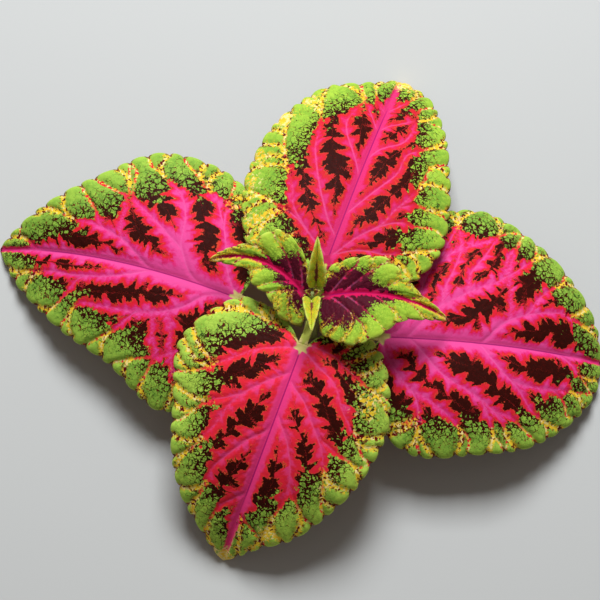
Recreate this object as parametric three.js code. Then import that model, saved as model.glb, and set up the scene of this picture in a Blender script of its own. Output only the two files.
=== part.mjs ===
// A cut shoot tip of coleus, face up: four large leaves, two small ones, two tiny ones and the
// two minute leaves of the growing point, each with its own stalk, round one short square stem.
// Millimetres, +Z up. X = Y = 0 is the middle of the plant's outline, and Z = 0 is the surface
// that the low ends of the four large leaves rest on.

import * as THREE from 'three';
import { mergeVertices } from 'three/addons/utils/BufferGeometryUtils.js';

// ---------------------------------------------------------------- driving dimensions

const BLADE_THICKNESS = 0.7;
const GAP = 0.45; // between a leaf stalk and the stem
const RIM_CENTRE = 0.42; // share of the midrib that the rim radii are measured from
const RIM_ANGLES = [180, 166, 148, 120, 90, 60, 35, 15, 0]; // degrees, from the stalk to the tip
const COLUMN_ARCH = 0.14; // how far the grid columns bow towards the stalk
const SMOOTH_RIM = 0.06; // share of the rim next to the stalk that has no teeth
const TOOTH_UNEVENNESS = 0.16; // share of a tooth
const TOOTH_BLUNTNESS = 0.6; // below 1 a tooth is rounder than a sine wave
const NOTCH_SHARE = 0.55; // share of a tooth's depth that lies inside the plain rim
const COLUMNS_PER_TOOTH = 3;
const CAMBER_REACH = 50; // mm from the midrib over which a blade turns by its camber angle
const MIDRIB_STEPS = 160;
const NORMAL_STEP = 0.4;
const RIB_TIP_SHARE = 0.22; // the midrib's width and depth at the tip, against those at the base
const STALK_FLARE = 1.15; // a stalk's width at the stem, against its width at the blade
const STALK_BEND = 0.36; // share of a stalk that runs straight out at each end
const STALK_RING_SPACING = 4;
const STEM_SIDE = 5.2; // square stem, measured across its flats at the cut
const STEM_TOP_SIDE = 2.6;
const STEM_RINGS = 16;
const STEM_DOME = { height: 0.7, share: 0.6 }; // the rounded top
const NODE_SWELLING = 0.1; // share of the stem's side, where leaves join it
const NODE_REACH = 2.4; // mm of stem that a swelling takes to fade
const CUT_HEIGHT = 0.5; // the cut end hangs this far above the surface

// Where a column of the grid starts on the midrib, against where it ends on the rim.
const COLUMN_RIM = [0, 0.22, 0.4, 0.54, 0.7, 0.8, 0.88, 0.94, 1];
const COLUMN_MIDRIB = [0, 0.035, 0.09, 0.16, 0.28, 0.43, 0.59, 0.76, 1];

// A stalk's section: left top, left side, left underside, the same on the right, and the groove.
const STALK_SECTION = [
  [0.7, 0.72],
  [1, -0.15],
  [0.5, -0.95],
  [-0.5, -0.95],
  [-1, -0.15],
  [-0.7, 0.72],
  [0, 0.45],
];
const OPEN_FLANKS = [0, 4]; // sides of that section that the blade's halves close along the midrib

// One quarter of the stem's square section with its blunt corner and hollow flats, half side 1.
const STEM_QUARTER = [[1, 0], [1.02, 0.72], [0.88, 0.88], [0.72, 1.02]];
const NODE_HEIGHTS = [13.5, 29.5, 44.7];

// Middle of the stem at the heights of its cut end, its leaf nodes and its top.
const STEM_LINE = [
  [-2.2, -4.6, CUT_HEIGHT],
  [-2.2, -4.2, 13],
  [-1.8, -3.0, 29],
  [-1.7, -0.4, 45],
  [-2, 0.6, 50],
];

const LARGE = {
  teeth: 21,
  toothDepth: 1.5,
  rows: [0, 0.28, 0.56, 0.82, 1],
  wave: 1.1,
  waves: 5,
  groove: 0.9,
  grooveWidth: 3.2,
  stalkRadius: 1.8,
  ribDepth: 1.5,
};
const SMALL = {
  teeth: 11,
  toothDepth: 0.8,
  rows: [0, 0.38, 0.74, 1],
  wave: 0.4,
  waves: 4,
  groove: 0.4,
  grooveWidth: 1.8,
  stalkRadius: 1.1,
  ribDepth: 0.8,
};
const TINY = {
  teeth: 5,
  toothDepth: 0.35,
  rows: [0, 0.55, 1],
  wave: 0,
  waves: 1,
  groove: 0,
  grooveWidth: 1,
  stalkRadius: 0.6,
  ribDepth: 0.3,
};

// base: where blade and stalk meet. heading, pitch and roll turn the midrib there, and over its
// length they change by turn, to pitch's second value and to roll's second value. fold lifts
// each half from the midrib and camber bends it down again. rim: radii at RIM_ANGLES between
// the first and the last, for the left and the right half as seen along the midrib.
const LEAVES = [
  {
    ...LARGE,
    name: 'leaf_left',
    base: [-30.5, 3.8, 27],
    nodeHeight: 13.5,
    length: 111,
    heading: 160,
    turn: 11,
    pitch: [11, -41.6],
    pitchCurve: 1.1,
    roll: [-2, -14],
    fold: 6,
    camber: [32, 40],
    rim: [
      [56, 64, 62, 41, 39.5, 44.5, 55],
      [50, 55, 57, 51, 41, 42, 50],
    ],
  },
  {
    ...LARGE,
    name: 'leaf_right',
    base: [24.6, -11.4, 27],
    nodeHeight: 13.5,
    length: 100,
    heading: -4,
    turn: 0,
    pitch: [12, -48],
    pitchCurve: 1.15,
    roll: [0, 0],
    fold: 7,
    camber: [36, 36],
    rim: [
      [54, 60.5, 61.5, 60.5, 53.5, 51.5, 55],
      [50, 55.5, 53.5, 44.5, 45.5, 49.5, 55],
    ],
  },
  {
    ...LARGE,
    name: 'leaf_back',
    base: [3.2, 13.9, 43],
    nodeHeight: 29.5,
    length: 108,
    heading: 70,
    turn: 0,
    pitch: [6, -51.8],
    pitchCurve: 0.93,
    roll: [0, 0],
    fold: 7,
    camber: [42, 44],
    rim: [
      [52, 58, 50, 44, 43.5, 48.5, 50],
      [50, 55, 48, 39, 37, 44, 56],
    ],
  },
  {
    ...LARGE,
    name: 'leaf_front',
    base: [-5.6, -17, 43],
    nodeHeight: 29.5,
    length: 101,
    heading: -110,
    turn: -4,
    pitch: [6, -55.4],
    pitchCurve: 0.93,
    roll: [0, 0],
    fold: 7,
    camber: [42, 40],
    rim: [
      [55, 58, 50, 41, 38, 41, 45],
      [52, 60, 56, 41, 39, 43, 48],
    ],
  },
  {
    ...SMALL,
    name: 'leaf_small_left',
    base: [-5, 0.9, 48],
    nodeHeight: 44.6,
    length: 47,
    heading: 128,
    turn: 62,
    pitch: [28, -50],
    pitchCurve: 1,
    roll: [-8, -30],
    fold: 14,
    camber: [60, 50],
    rim: [
      [29, 24, 12, 10, 9, 8, 15],
      [18, 15, 14, 14, 10, 10, 14],
    ],
  },
  {
    ...SMALL,
    name: 'leaf_small_right',
    base: [2.2, 0.1, 49],
    nodeHeight: 44.8,
    length: 55,
    heading: 8,
    turn: -34,
    pitch: [22, -48],
    pitchCurve: 1,
    roll: [0, 0],
    fold: 16,
    camber: [40, 50],
    rim: [
      [23, 21, 16, 14, 11, 12, 15],
      [26, 29, 24, 17, 13, 14, 20],
    ],
  },
  {
    ...TINY,
    name: 'leaf_tip_back',
    base: [-0.6, 4.1, 52],
    nodeHeight: 48.4,
    length: 21,
    heading: 88,
    turn: 0,
    pitch: [58, 22],
    pitchCurve: 1,
    roll: [0, 0],
    fold: 35,
    camber: [-40, -40],
    rim: [
      [9, 8, 6.5, 5, 5, 6, 8],
      [9, 8, 6.5, 5, 5, 6, 8],
    ],
  },
  {
    ...TINY,
    name: 'leaf_tip_front',
    base: [-2.4, -2.3, 51.6],
    nodeHeight: 48.2,
    length: 19,
    heading: -90,
    turn: 0,
    pitch: [58, 22],
    pitchCurve: 1,
    roll: [0, 0],
    fold: 35,
    camber: [-40, -40],
    rim: [
      [8, 7, 6, 5, 5, 6, 7.5],
      [8, 7, 6, 5, 5, 6, 7.5],
    ],
  },
];

// The two leaves of the growing point, which stand on the stem's top with no stalks.
for (const [name, heading, aside] of [['bud_leaf_left', 180, -1.1], ['bud_leaf_right', 0, 1.1]]) {
  LEAVES.push({
    ...TINY,
    name,
    teeth: 3,
    toothDepth: 0.15,
    stalkRadius: 0.25,
    ribDepth: 0.1,
    base: [-2 + aside, 0.7, 51.4],
    length: 5.5,
    heading,
    turn: 0,
    pitch: [84, 50],
    pitchCurve: 1,
    roll: [0, 0],
    fold: 25,
    camber: [-200, -200],
    rim: [
      [2.3, 2, 1.6, 1.4, 1.3, 1.6, 2.2],
      [2.3, 2, 1.6, 1.4, 1.3, 1.6, 2.2],
    ],
  });
}

const SURFACE_LEAVES = ['leaf_left', 'leaf_right', 'leaf_back', 'leaf_front'];

const COLOURS = {
  leaf_left: 0xb52a55,
  leaf_right: 0xb52a55,
  leaf_back: 0xc0304a,
  leaf_front: 0xc0304a,
  leaf_small_left: 0x8a9a3c,
  leaf_small_right: 0x8a9a3c,
  leaf_tip_back: 0xa8b440,
  leaf_tip_front: 0xa8b440,
  bud_leaf_left: 0xb4bf4a,
  bud_leaf_right: 0xb4bf4a,
  stem: 0x8d9a52,
};

// ---------------------------------------------------------------- the form of a leaf

const radians = THREE.MathUtils.degToRad;
const mix = THREE.MathUtils.lerp;

/** The value at x of the smooth curve through the knots that never overshoots them. */
function risingCurve(knotsX, knotsY, x) {
  const last = knotsX.length - 1;
  const rise = knotsX.slice(1).map((knot, i) => (knotsY[i + 1] - knotsY[i]) / (knot - knotsX[i]));
  const slope = knotsX.map((knot, i) => {
    if (i === 0) return rise[0];
    if (i === last) return rise[last - 1];
    return (2 * rise[i - 1] * rise[i]) / (rise[i - 1] + rise[i]);
  });
  let i = 0;
  while (i < last - 1 && x > knotsX[i + 1]) i += 1;
  const span = knotsX[i + 1] - knotsX[i];
  const t = (x - knotsX[i]) / span;
  return (
    (2 * t ** 3 - 3 * t ** 2 + 1) * knotsY[i] +
    (t ** 3 - 2 * t ** 2 + t) * span * slope[i] +
    (-2 * t ** 3 + 3 * t ** 2) * knotsY[i + 1] +
    (t ** 3 - t ** 2) * span * slope[i + 1]
  );
}

/** Half the midrib's width, x mm from the blade's base. */
function ribHalfWidth(leaf, x) {
  return leaf.stalkRadius * mix(1, RIB_TIP_SHARE, x / leaf.length);
}

/** One half of a leaf, side 1 for the left and -1 for the right, laid flat along +X. */
class HalfBlade {
  constructor(leaf, side) {
    this.leaf = leaf;
    this.side = side;
    const centre = RIM_CENTRE * leaf.length;
    const points = leaf.rim[side > 0 ? 0 : 1].map((radius, i) => {
      const angle = radians(RIM_ANGLES[i + 1]);
      return new THREE.Vector2(centre + radius * Math.cos(angle), side * radius * Math.sin(angle));
    });
    points.unshift(new THREE.Vector2(0, side * ribHalfWidth(leaf, 0)));
    points.push(new THREE.Vector2(leaf.length, side * ribHalfWidth(leaf, leaf.length)));
    this.curve = new THREE.SplineCurve(points);
    this.curve.arcLengthDivisions = 400;
  }

  /** Rim share at which tooth number i starts; whole numbers are the notches. */
  toothShare(i) {
    const { teeth } = this.leaf;
    const notch = (n) => {
      const uneven = n <= 0 || n >= teeth ? 0 : TOOTH_UNEVENNESS * Math.sin(2.4 * n + this.side);
      return SMOOTH_RIM + ((1 - SMOOTH_RIM) * (n + uneven)) / teeth;
    };
    const whole = Math.min(Math.floor(i), teeth - 1);
    return mix(notch(whole), notch(whole + 1), i - whole);
  }

  /** Point of the toothed rim: phase counts teeth from the stalk, below 0 there are none. */
  rimPoint(share, phase) {
    const point = this.curve.getPointAt(share);
    if (phase < 0) return point;
    const tangent = this.curve.getTangentAt(share);
    const { teeth, toothDepth } = this.leaf;
    const fade = Math.min(1, (phase + 0.6) / 2.5, (teeth - phase) / 0.9);
    const swell = Math.abs(Math.sin(Math.PI * phase)) ** TOOTH_BLUNTNESS - NOTCH_SHARE;
    const out = toothDepth * swell * fade * -this.side;
    return new THREE.Vector2(point.x + tangent.y * out, point.y - tangent.x * out);
  }

  /** Point on the column that ends at the rim point given, at share `across` from the midrib. */
  columnPoint(share, rim, across) {
    const x = risingCurve(COLUMN_RIM, COLUMN_MIDRIB, share) * this.leaf.length;
    const start = new THREE.Vector2(x, this.side * ribHalfWidth(this.leaf, x));
    const bow = Math.min(1, share * 4) * COLUMN_ARCH * this.side;
    const middle = new THREE.Vector2(
      (start.x + rim.x) / 2 - (rim.y - start.y) * bow,
      (start.y + rim.y) / 2 + (rim.x - start.x) * bow,
    );
    const rest = 1 - across;
    return start
      .multiplyScalar(rest * rest)
      .addScaledVector(middle, 2 * across * rest)
      .addScaledVector(rim, across * across);
  }
}

/** Places a flat leaf in space: the midrib's curve, and the blade's bend on each side of it. */
class LeafForm {
  constructor(leaf) {
    this.leaf = leaf;
    this.frames = [];
    const point = new THREE.Vector3(...leaf.base);
    let before = null;
    for (let i = 0; i <= MIDRIB_STEPS; i += 1) {
      const share = i / MIDRIB_STEPS;
      const pitch = radians(mix(leaf.pitch[0], leaf.pitch[1], share ** leaf.pitchCurve));
      const heading = radians(leaf.heading + leaf.turn * share);
      const along = new THREE.Vector3(
        Math.cos(pitch) * Math.cos(heading),
        Math.cos(pitch) * Math.sin(heading),
        Math.sin(pitch),
      );
      if (before) {
        const step = leaf.length / MIDRIB_STEPS / 2;
        point.addScaledVector(before, step).addScaledVector(along, step);
      }
      before = along;
      const level = new THREE.Vector3(-Math.sin(heading), Math.cos(heading), 0);
      const up = new THREE.Vector3().crossVectors(along, level);
      const roll = radians(mix(leaf.roll[0], leaf.roll[1], share));
      this.frames.push({
        point: point.clone(),
        along,
        left: level.clone().multiplyScalar(Math.cos(roll)).addScaledVector(up, Math.sin(roll)),
        up: up.clone().multiplyScalar(Math.cos(roll)).addScaledVector(level, -Math.sin(roll)),
      });
    }
  }

  /** The midrib's point and directions at x mm from the blade's base. */
  frameAt(x) {
    const place = THREE.MathUtils.clamp(x / this.leaf.length, 0, 1) * MIDRIB_STEPS;
    const i = Math.min(Math.floor(place), MIDRIB_STEPS - 1);
    const [a, b] = [this.frames[i], this.frames[i + 1]];
    const blend = (key) => a[key].clone().lerp(b[key], place - i);
    const beyond = Math.min(x, 0) + Math.max(x - this.leaf.length, 0);
    const along = blend('along').normalize();
    return {
      point: blend('point').addScaledVector(along, beyond),
      along,
      left: blend('left'),
      up: blend('up'),
    };
  }

  /** Height of the blade's own relief: the groove over the midrib and the rim's slow waves. */
  relief(x, y) {
    const { leaf } = this;
    const side = y < 0 ? 1 : 0;
    const centre = RIM_CENTRE * leaf.length;
    const angle = THREE.MathUtils.radToDeg(Math.atan2(Math.abs(y), x - centre));
    const radii = [centre, ...leaf.rim[side], leaf.length - centre];
    let i = 0;
    while (i < RIM_ANGLES.length - 2 && angle < RIM_ANGLES[i + 1]) i += 1;
    const t = (RIM_ANGLES[i] - angle) / (RIM_ANGLES[i] - RIM_ANGLES[i + 1]);
    const out = Math.hypot(x - centre, y) / mix(radii[i], radii[i + 1], t);
    const turn = radians(angle);
    const wave = Math.sin(turn) * Math.sin(turn * leaf.waves + side * 1.9 + leaf.length);
    const groove = Math.exp(-((y / leaf.grooveWidth) ** 2)) * (1 - Math.min(out, 1) ** 2);
    return leaf.wave * Math.min(out, 1.1) ** 3 * wave - leaf.groove * groove;
  }

  /** The place in space of the flat leaf's point (x, y). */
  place(x, y) {
    const { leaf } = this;
    const { point, left, up } = this.frameAt(x);
    const bend = radians(leaf.camber[y < 0 ? 1 : 0]) / CAMBER_REACH;
    const lean = radians(leaf.fold);
    const out = (Math.sin(lean) - Math.sin(lean - bend * Math.abs(y))) / bend;
    const rise = (Math.cos(lean - bend * Math.abs(y)) - Math.cos(lean)) / bend;
    return point
      .addScaledVector(left, out * Math.sign(y))
      .addScaledVector(up, rise + this.relief(x, y));
  }

  /** The blade's upward direction at (x, y). */
  normal(x, y) {
    const alongX = this.place(x + NORMAL_STEP, y).sub(this.place(x - NORMAL_STEP, y));
    const alongY = this.place(x, y + NORMAL_STEP).sub(this.place(x, y - NORMAL_STEP));
    return alongX.cross(alongY).normalize();
  }
}

// ---------------------------------------------------------------- closed bodies

/** Closes loose triangles, given as points, into one indexed geometry. */
function closedGeometry(points) {
  const positions = points.flatMap((point) => [point.x, point.y, point.z]);
  const loose = new THREE.BufferGeometry();
  loose.setAttribute('position', new THREE.Float32BufferAttribute(positions, 3));
  const merged = mergeVertices(loose, 1e-4);
  const { array } = merged.index;
  const kept = [];
  for (let i = 0; i < array.length; i += 3) {
    const [a, b, c] = [array[i], array[i + 1], array[i + 2]];
    if (a !== b && b !== c && c !== a) kept.push(a, b, c);
  }
  merged.setIndex(kept);
  return merged;
}

/** Two triangles across the corners given, which run anticlockwise as seen from outside. */
function quad(a, b, c, d) {
  return [a, b, c, a, c, d];
}

/** Fan of triangles that closes a ring of corners. */
function cap(ring) {
  const centre = ring.reduce((sum, corner) => sum.add(corner), new THREE.Vector3());
  centre.divideScalar(ring.length);
  return ring.flatMap((corner, i) => [centre, corner, ring[(i + 1) % ring.length]]);
}

/** Triangles between rings of corners, but for the sides in `open`. */
function ringTriangles(rings, open = []) {
  const triangles = [];
  for (let i = 0; i + 1 < rings.length; i += 1) {
    const [near, far] = [rings[i], rings[i + 1]];
    for (let j = 0; j < near.length; j += 1) {
      const k = (j + 1) % near.length;
      if (!open.includes(j)) triangles.push(...quad(near[j], far[j], far[k], near[k]));
    }
  }
  return triangles;
}

// ---------------------------------------------------------------- the stem

const stemLine = new THREE.CatmullRomCurve3(STEM_LINE.map((place) => new THREE.Vector3(...place)));

/** Half the stem's side at a height: it tapers, and swells where leaves join it. */
function stemHalfSide(z) {
  const plain = mix(STEM_SIDE, STEM_TOP_SIDE, z / STEM_LINE.at(-1)[2]) / 2;
  const near = NODE_HEIGHTS.map((height) => Math.exp(-(((z - height) / NODE_REACH) ** 2)));
  return plain * (1 + NODE_SWELLING * Math.max(...near));
}

/** Middle of the stem at the height given. */
function stemMiddle(z) {
  const points = stemLine.getPoints(200);
  return points.reduce((best, point) => (Math.abs(point.z - z) < Math.abs(best.z - z) ? point : best));
}

/** Corners of the stem's square section round a point. */
function stemRing(point, halfSide) {
  const turns = [[1, 0], [0, -1], [-1, 0], [0, 1]];
  return turns.flatMap(([cos, sin]) =>
    STEM_QUARTER.toReversed().map(([x, y]) => {
      const across = new THREE.Vector3(x * cos - y * sin, x * sin + y * cos, 0);
      return across.multiplyScalar(halfSide).add(point);
    }),
  );
}

/** The stem: a tapered square bar, cut level at the foot and rounded at the top. */
function stemGeometry() {
  const rings = Array.from({ length: STEM_RINGS }, (_, i) => {
    const point = stemLine.getPointAt(i / (STEM_RINGS - 1));
    return stemRing(point, stemHalfSide(point.z));
  });
  const top = new THREE.Vector3(...STEM_LINE.at(-1));
  top.z += STEM_DOME.height;
  rings.push(stemRing(top, stemHalfSide(top.z) * STEM_DOME.share));
  return closedGeometry([
    ...ringTriangles(rings),
    ...cap(rings[0]),
    ...cap(rings.at(-1).toReversed()),
  ]);
}

// ---------------------------------------------------------------- leaves as solids

/** One half of the blade as a grid of columns, each with a point above and one below per row. */
function halfGrid(leaf, form, side) {
  const half = new HalfBlade(leaf, side);
  const last = leaf.teeth * COLUMNS_PER_TOOTH;
  const columns = [{ start: 0, share: 0, phase: -1 }];
  for (let i = 0; i <= last; i += 1) {
    const phase = i / COLUMNS_PER_TOOTH;
    // Both halves start column i at the same x on the midrib, wherever its tooth is on the rim.
    columns.push({ start: mix(SMOOTH_RIM, 1, i / last), share: half.toothShare(phase), phase });
  }
  return columns.map(({ start, share, phase }) => {
    const rim = half.rimPoint(share, phase);
    return leaf.rows.map((across) => {
      const flat = half.columnPoint(start, rim, across);
      const middle = form.place(flat.x, flat.y);
      const offset = form.normal(flat.x, flat.y).multiplyScalar(BLADE_THICKNESS / 2);
      return { flat, top: middle.clone().add(offset), under: middle.clone().sub(offset) };
    });
  });
}

/** Triangles of half a blade: alike above and below, and joined round the toothed rim. */
function halfTriangles(grid, side) {
  const triangles = [];
  for (let i = 0; i + 1 < grid.length; i += 1) {
    for (let j = 0; j + 1 < grid[i].length; j += 1) {
      const corners = [grid[i][j], grid[i + 1][j], grid[i + 1][j + 1], grid[i][j + 1]];
      const [a, b, c, d] = side > 0 ? corners : [corners[2], corners[1], corners[0], corners[3]];
      triangles.push(...quad(a.top, b.top, c.top, d.top), ...quad(c.under, b.under, a.under, d.under));
    }
    const ends = [grid[i].at(-1), grid[i + 1].at(-1)];
    const [here, next] = side > 0 ? ends : [ends[1], ends[0]];
    triangles.push(...quad(here.top, next.top, next.under, here.under));
  }
  return triangles;
}

/** Corners of the midrib's section at one column, in the order of STALK_SECTION. */
function ribRing(leaf, form, left, right) {
  const { x } = left.flat;
  const depth = BLADE_THICKNESS / 2 + leaf.ribDepth * mix(1, RIB_TIP_SHARE, x / leaf.length);
  const corner = (y, lift) => form.place(x, y).addScaledVector(form.normal(x, y), lift);
  const aside = ribHalfWidth(leaf, x) / 2;
  const groove = corner(0, BLADE_THICKNESS / 2);
  return [
    left.top,
    left.under,
    corner(aside, -depth),
    corner(-aside, -depth),
    right.under,
    right.top,
    groove,
  ];
}

/** Rings of the leaf stalk, from beside the stem up to the ring where the blade starts. */
function stalkRings(leaf, form, baseRing) {
  const node = stemMiddle(leaf.nodeHeight);
  const base = form.frameAt(0);
  const outward = new THREE.Vector3(base.point.x - node.x, base.point.y - node.y, 0).normalize();
  const width = leaf.stalkRadius * STALK_FLARE;
  const [slant, straight] = [Math.abs(outward.x), Math.abs(outward.y)].sort((a, b) => a - b);
  const reach = (stemHalfSide(leaf.nodeHeight) * STEM_QUARTER[1][0] + width * slant) / straight + GAP;
  const start = node.clone().addScaledVector(outward, reach);
  const handle = start.distanceTo(base.point) * STALK_BEND;
  const curve = new THREE.CubicBezierCurve3(
    start,
    start.clone().addScaledVector(outward, handle),
    base.point.clone().addScaledVector(base.along, -handle),
    base.point,
  );
  const count = Math.max(3, Math.round(curve.getLength() / STALK_RING_SPACING));
  const level = new THREE.Vector3(-outward.y, outward.x, 0);
  const across = baseRing.map((corner) => corner.clone().sub(base.point));
  return Array.from({ length: count }, (_, i) => {
    const share = i / count;
    const along = curve.getTangent(share);
    const left = level.clone().lerp(base.left, share).projectOnPlane(along).normalize();
    const up = along.clone().cross(left);
    const radius = leaf.stalkRadius * mix(STALK_FLARE, 1, share);
    return STALK_SECTION.map(([x, y], corner) => {
      const round = left.clone().multiplyScalar(x * radius).addScaledVector(up, y * radius);
      const point = curve.getPoint(share);
      return point.add(round.lerp(across[corner], share ** 4));
    });
  });
}

/** One leaf in one closed body: two half blades, the midrib between them, and the stalk. */
function leafGeometry(leaf) {
  const form = new LeafForm(leaf);
  const left = halfGrid(leaf, form, 1);
  const right = halfGrid(leaf, form, -1);
  const midrib = left.map((column, i) => ribRing(leaf, form, column[0], right[i][0]));
  const stalk = leaf.nodeHeight === undefined ? [] : stalkRings(leaf, form, midrib[0]);
  return closedGeometry([
    ...halfTriangles(left, 1),
    ...halfTriangles(right, -1),
    ...ringTriangles(midrib, OPEN_FLANKS),
    ...ringTriangles([...stalk, midrib[0]]),
    ...cap(stalk[0] ?? midrib[0]),
    ...cap(midrib.at(-1).toReversed()),
  ]);
}

// ---------------------------------------------------------------- assembly

/** A named mesh with its own colour. */
function namedMesh(name, geometry) {
  const material = new THREE.MeshStandardMaterial({ color: COLOURS[name], roughness: 0.6, metalness: 0 });
  const mesh = new THREE.Mesh(geometry, material);
  mesh.name = name;
  return mesh;
}

const coleus = new THREE.Group();
coleus.add(namedMesh('stem', stemGeometry()));
for (const leaf of LEAVES) coleus.add(namedMesh(leaf.name, leafGeometry(leaf)));

// Each large leaf is let down, or lifted, by the last fraction of a millimetre to the surface.
for (const mesh of coleus.children) {
  mesh.geometry.computeBoundingBox();
  if (SURFACE_LEAVES.includes(mesh.name)) mesh.position.z = -mesh.geometry.boundingBox.min.z;
}

const outline = new THREE.Box3().setFromObject(coleus);
const middle = outline.getCenter(new THREE.Vector3());
coleus.position.set(-middle.x, -middle.y, 0);

export default coleus;
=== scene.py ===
"""Looks of a cut coleus shoot tip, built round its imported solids.

Lengths in the classes are millimetres and angles are degrees. Meshes are written in metres. Every
leaf is drawn flat first, with +X along its midrib and +Y on its left, and then bent into place.
"""

import logging
import math
from dataclasses import dataclass
from enum import Enum

import bmesh
import bpy
import numpy as np
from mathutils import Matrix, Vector

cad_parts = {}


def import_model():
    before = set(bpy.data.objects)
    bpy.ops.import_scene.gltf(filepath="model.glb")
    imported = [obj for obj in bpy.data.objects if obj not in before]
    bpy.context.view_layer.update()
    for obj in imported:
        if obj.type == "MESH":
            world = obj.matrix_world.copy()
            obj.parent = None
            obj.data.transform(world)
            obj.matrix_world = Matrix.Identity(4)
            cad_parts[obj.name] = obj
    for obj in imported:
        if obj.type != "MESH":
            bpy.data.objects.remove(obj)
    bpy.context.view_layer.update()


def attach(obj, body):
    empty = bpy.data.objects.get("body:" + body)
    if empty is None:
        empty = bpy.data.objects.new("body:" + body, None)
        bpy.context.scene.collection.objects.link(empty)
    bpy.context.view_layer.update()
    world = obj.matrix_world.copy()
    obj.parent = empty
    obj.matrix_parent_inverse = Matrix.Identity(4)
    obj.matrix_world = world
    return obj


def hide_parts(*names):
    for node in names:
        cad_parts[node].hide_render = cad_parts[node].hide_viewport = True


log = logging.getLogger("coleus")

Colour = tuple[int, int, int]
Fields = dict[str, np.ndarray]
Mixable = float | np.ndarray
Socket = bpy.types.NodeSocket

MM = 0.001
WELD_DISTANCE = 1e-6

# the flat leaf, its rim and its mesh
BLADE_THICKNESS = 0.7
GAP = 0.45
RIM_CENTRE = 0.42
RIM_STEP = 1e-3
RIM_ANGLES = np.array([180.0, 166.0, 148.0, 120.0, 90.0, 60.0, 35.0, 15.0, 0.0])
SMOOTH_RIM = 0.06
TOOTH_UNEVENNESS = 0.16
UNEVEN_TURN = 2.4
TOOTH_BLUNTNESS = 0.6
NOTCH_SHARE = 0.55
TOOTH_FADE_START = 0.6
TOOTH_FADE_IN = 2.5
TOOTH_FADE_OUT = 0.9
TOOTH_REACH = 8.0
STEEPEST_TOOTH = 0.5
WAVE_SHIFT = 1.9
WAVE_LIMIT = 1.1
CAMBER_REACH = 50.0
MIDRIB_STEPS = 160
RIB_TIP_SHARE = 0.22
NORMAL_STEP = 0.7
COLUMN_RIM = np.array([0, 0.22, 0.4, 0.54, 0.7, 0.8, 0.88, 0.94, 1])
COLUMN_MIDRIB = np.array([0, 0.035, 0.09, 0.16, 0.28, 0.43, 0.59, 0.76, 1])
COLUMN_ARCH = 0.05
ARCH_RAMP = 4
ROW_CROWDING = 0.35

# courses of the veins and veinlets
VEIN_POINTS = 25
VEIN_STEPS = 12
VEINLET_POINTS = 13
VEINLET_STARTS = slice(4, 22)
VEIN_BEND = 0.45
VEINLET_BEND = 0.42
TURNING_COST = 2.5
ASIDE_COST = 14
INWARD_COST = 22
SHORT_COST = 40
SHORT_SHARE = 0.07
MIDRIB_TIP_WIDTH = 0.9
VEIN_TAPER = 1.2
RUN_BETWEEN_VEINS = 37.0
RUN_BETWEEN_SIDES = 400
FAR = 20.0

# fine relief; each pair says where it begins and is full, from the rim or the midrib
LOBE_WIDTH = 1.6
LOBE_FADE = (18, 6)
LOBE_RIM = (-0.25, 1.15)
QUILT_FADE = (0.5, 2.5)
QUILT_MIDDLE = 0.5
GROOVE_WIDTH = 1.1
GROOVE_FADE = (0, 6)
RIDGE_WIDTH = 0.7
RIDGE_FADE = (0, 9)
DROOP_FADE = (3.2, 0)
DROOP_START = (2, 8)
RIB_EDGE = (1.0, 2.2)
RIB_LEAST_WIDTH = 0.05
KEEL_EDGE = 1.001
CELL_NUMBERS = (374761393, 668265263, 2147483, 1274126177)
CELL_START = 0.15
CELL_SPREAD = 0.7
CELL_RISE = 0.55
RIM_THICKNESS = 0.55
RIM_ROUNDING = 1.2

# the stalk and the star where it meets the blade
STALK_FLARE = 1.08
STALK_BEND = 0.28
STALK_RING_SPACING = 2.5
STALK_FEWEST_RINGS = 3
STALK_HALF_WIDTH = 0.75
STALK_TOP = 0.72
STALK_TOP_HOLLOW = 0.27
STALK_DEPTH = 0.95
STALK_EDGE_ANGLE = 10
STALK_PATTERN_STEP = 2.0
STAR_REACH = 4.5
STAR_NARROWING = 1.3

# places on the flat map, as shares of its side
MAP_EDGE = 0.012
MAP_UPPER_SIZE = 0.7
MAP_LOWER_SIZE = 0.25
MAP_LOWER_CORNER = np.array([MAP_EDGE, 0.74])
MAP_STALK_SIZE = np.array([0.25, 0.95])
MAP_STALK_CORNER = np.array([0.735, 0.02])

CORNER_NUMBERS = ("column", "row", "under", "ring")
NAME_SEEDS = 97

# the shoot and its stem
PLANT_MIDDLE = np.array([-7.3375, 2.6664, 0.0])
STEM_LINE = np.array(
    [[-2.2, -4.6, 0.5], [-2.2, -4.2, 13], [-1.8, -3.0, 29], [-1.7, -0.4, 45], [-2, 0.6, 50]]
)
STEM_SIDE = 5.2
STEM_TOP_SIDE = 2.6
STEM_DOME_HEIGHT = 0.7
STEM_DOME_TURN = 0.94
STEM_WIDEST = 1.02
NODE_HEIGHTS = (13.5, 29.5, 44.7)
NODE_SWELLING = 0.1
NODE_REACH = 2.4


# ---------------------------------------------------------------------------- small helpers


def mix(a: Mixable, b: Mixable, share: Mixable) -> Mixable:
    """Value between a and b at the share given."""
    return a + (b - a) * share


def smooth(low: float, high: float, value: np.ndarray) -> np.ndarray:
    """Soft step from 0 at low to 1 at high."""
    t = np.clip((value - low) / (high - low), 0, 1)
    return t * t * (3 - 2 * t)


def unit(vectors: np.ndarray) -> np.ndarray:
    """Vectors along the last axis, made one long."""
    return vectors / np.maximum(np.linalg.norm(vectors, axis=-1, keepdims=True), 1e-12)


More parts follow.
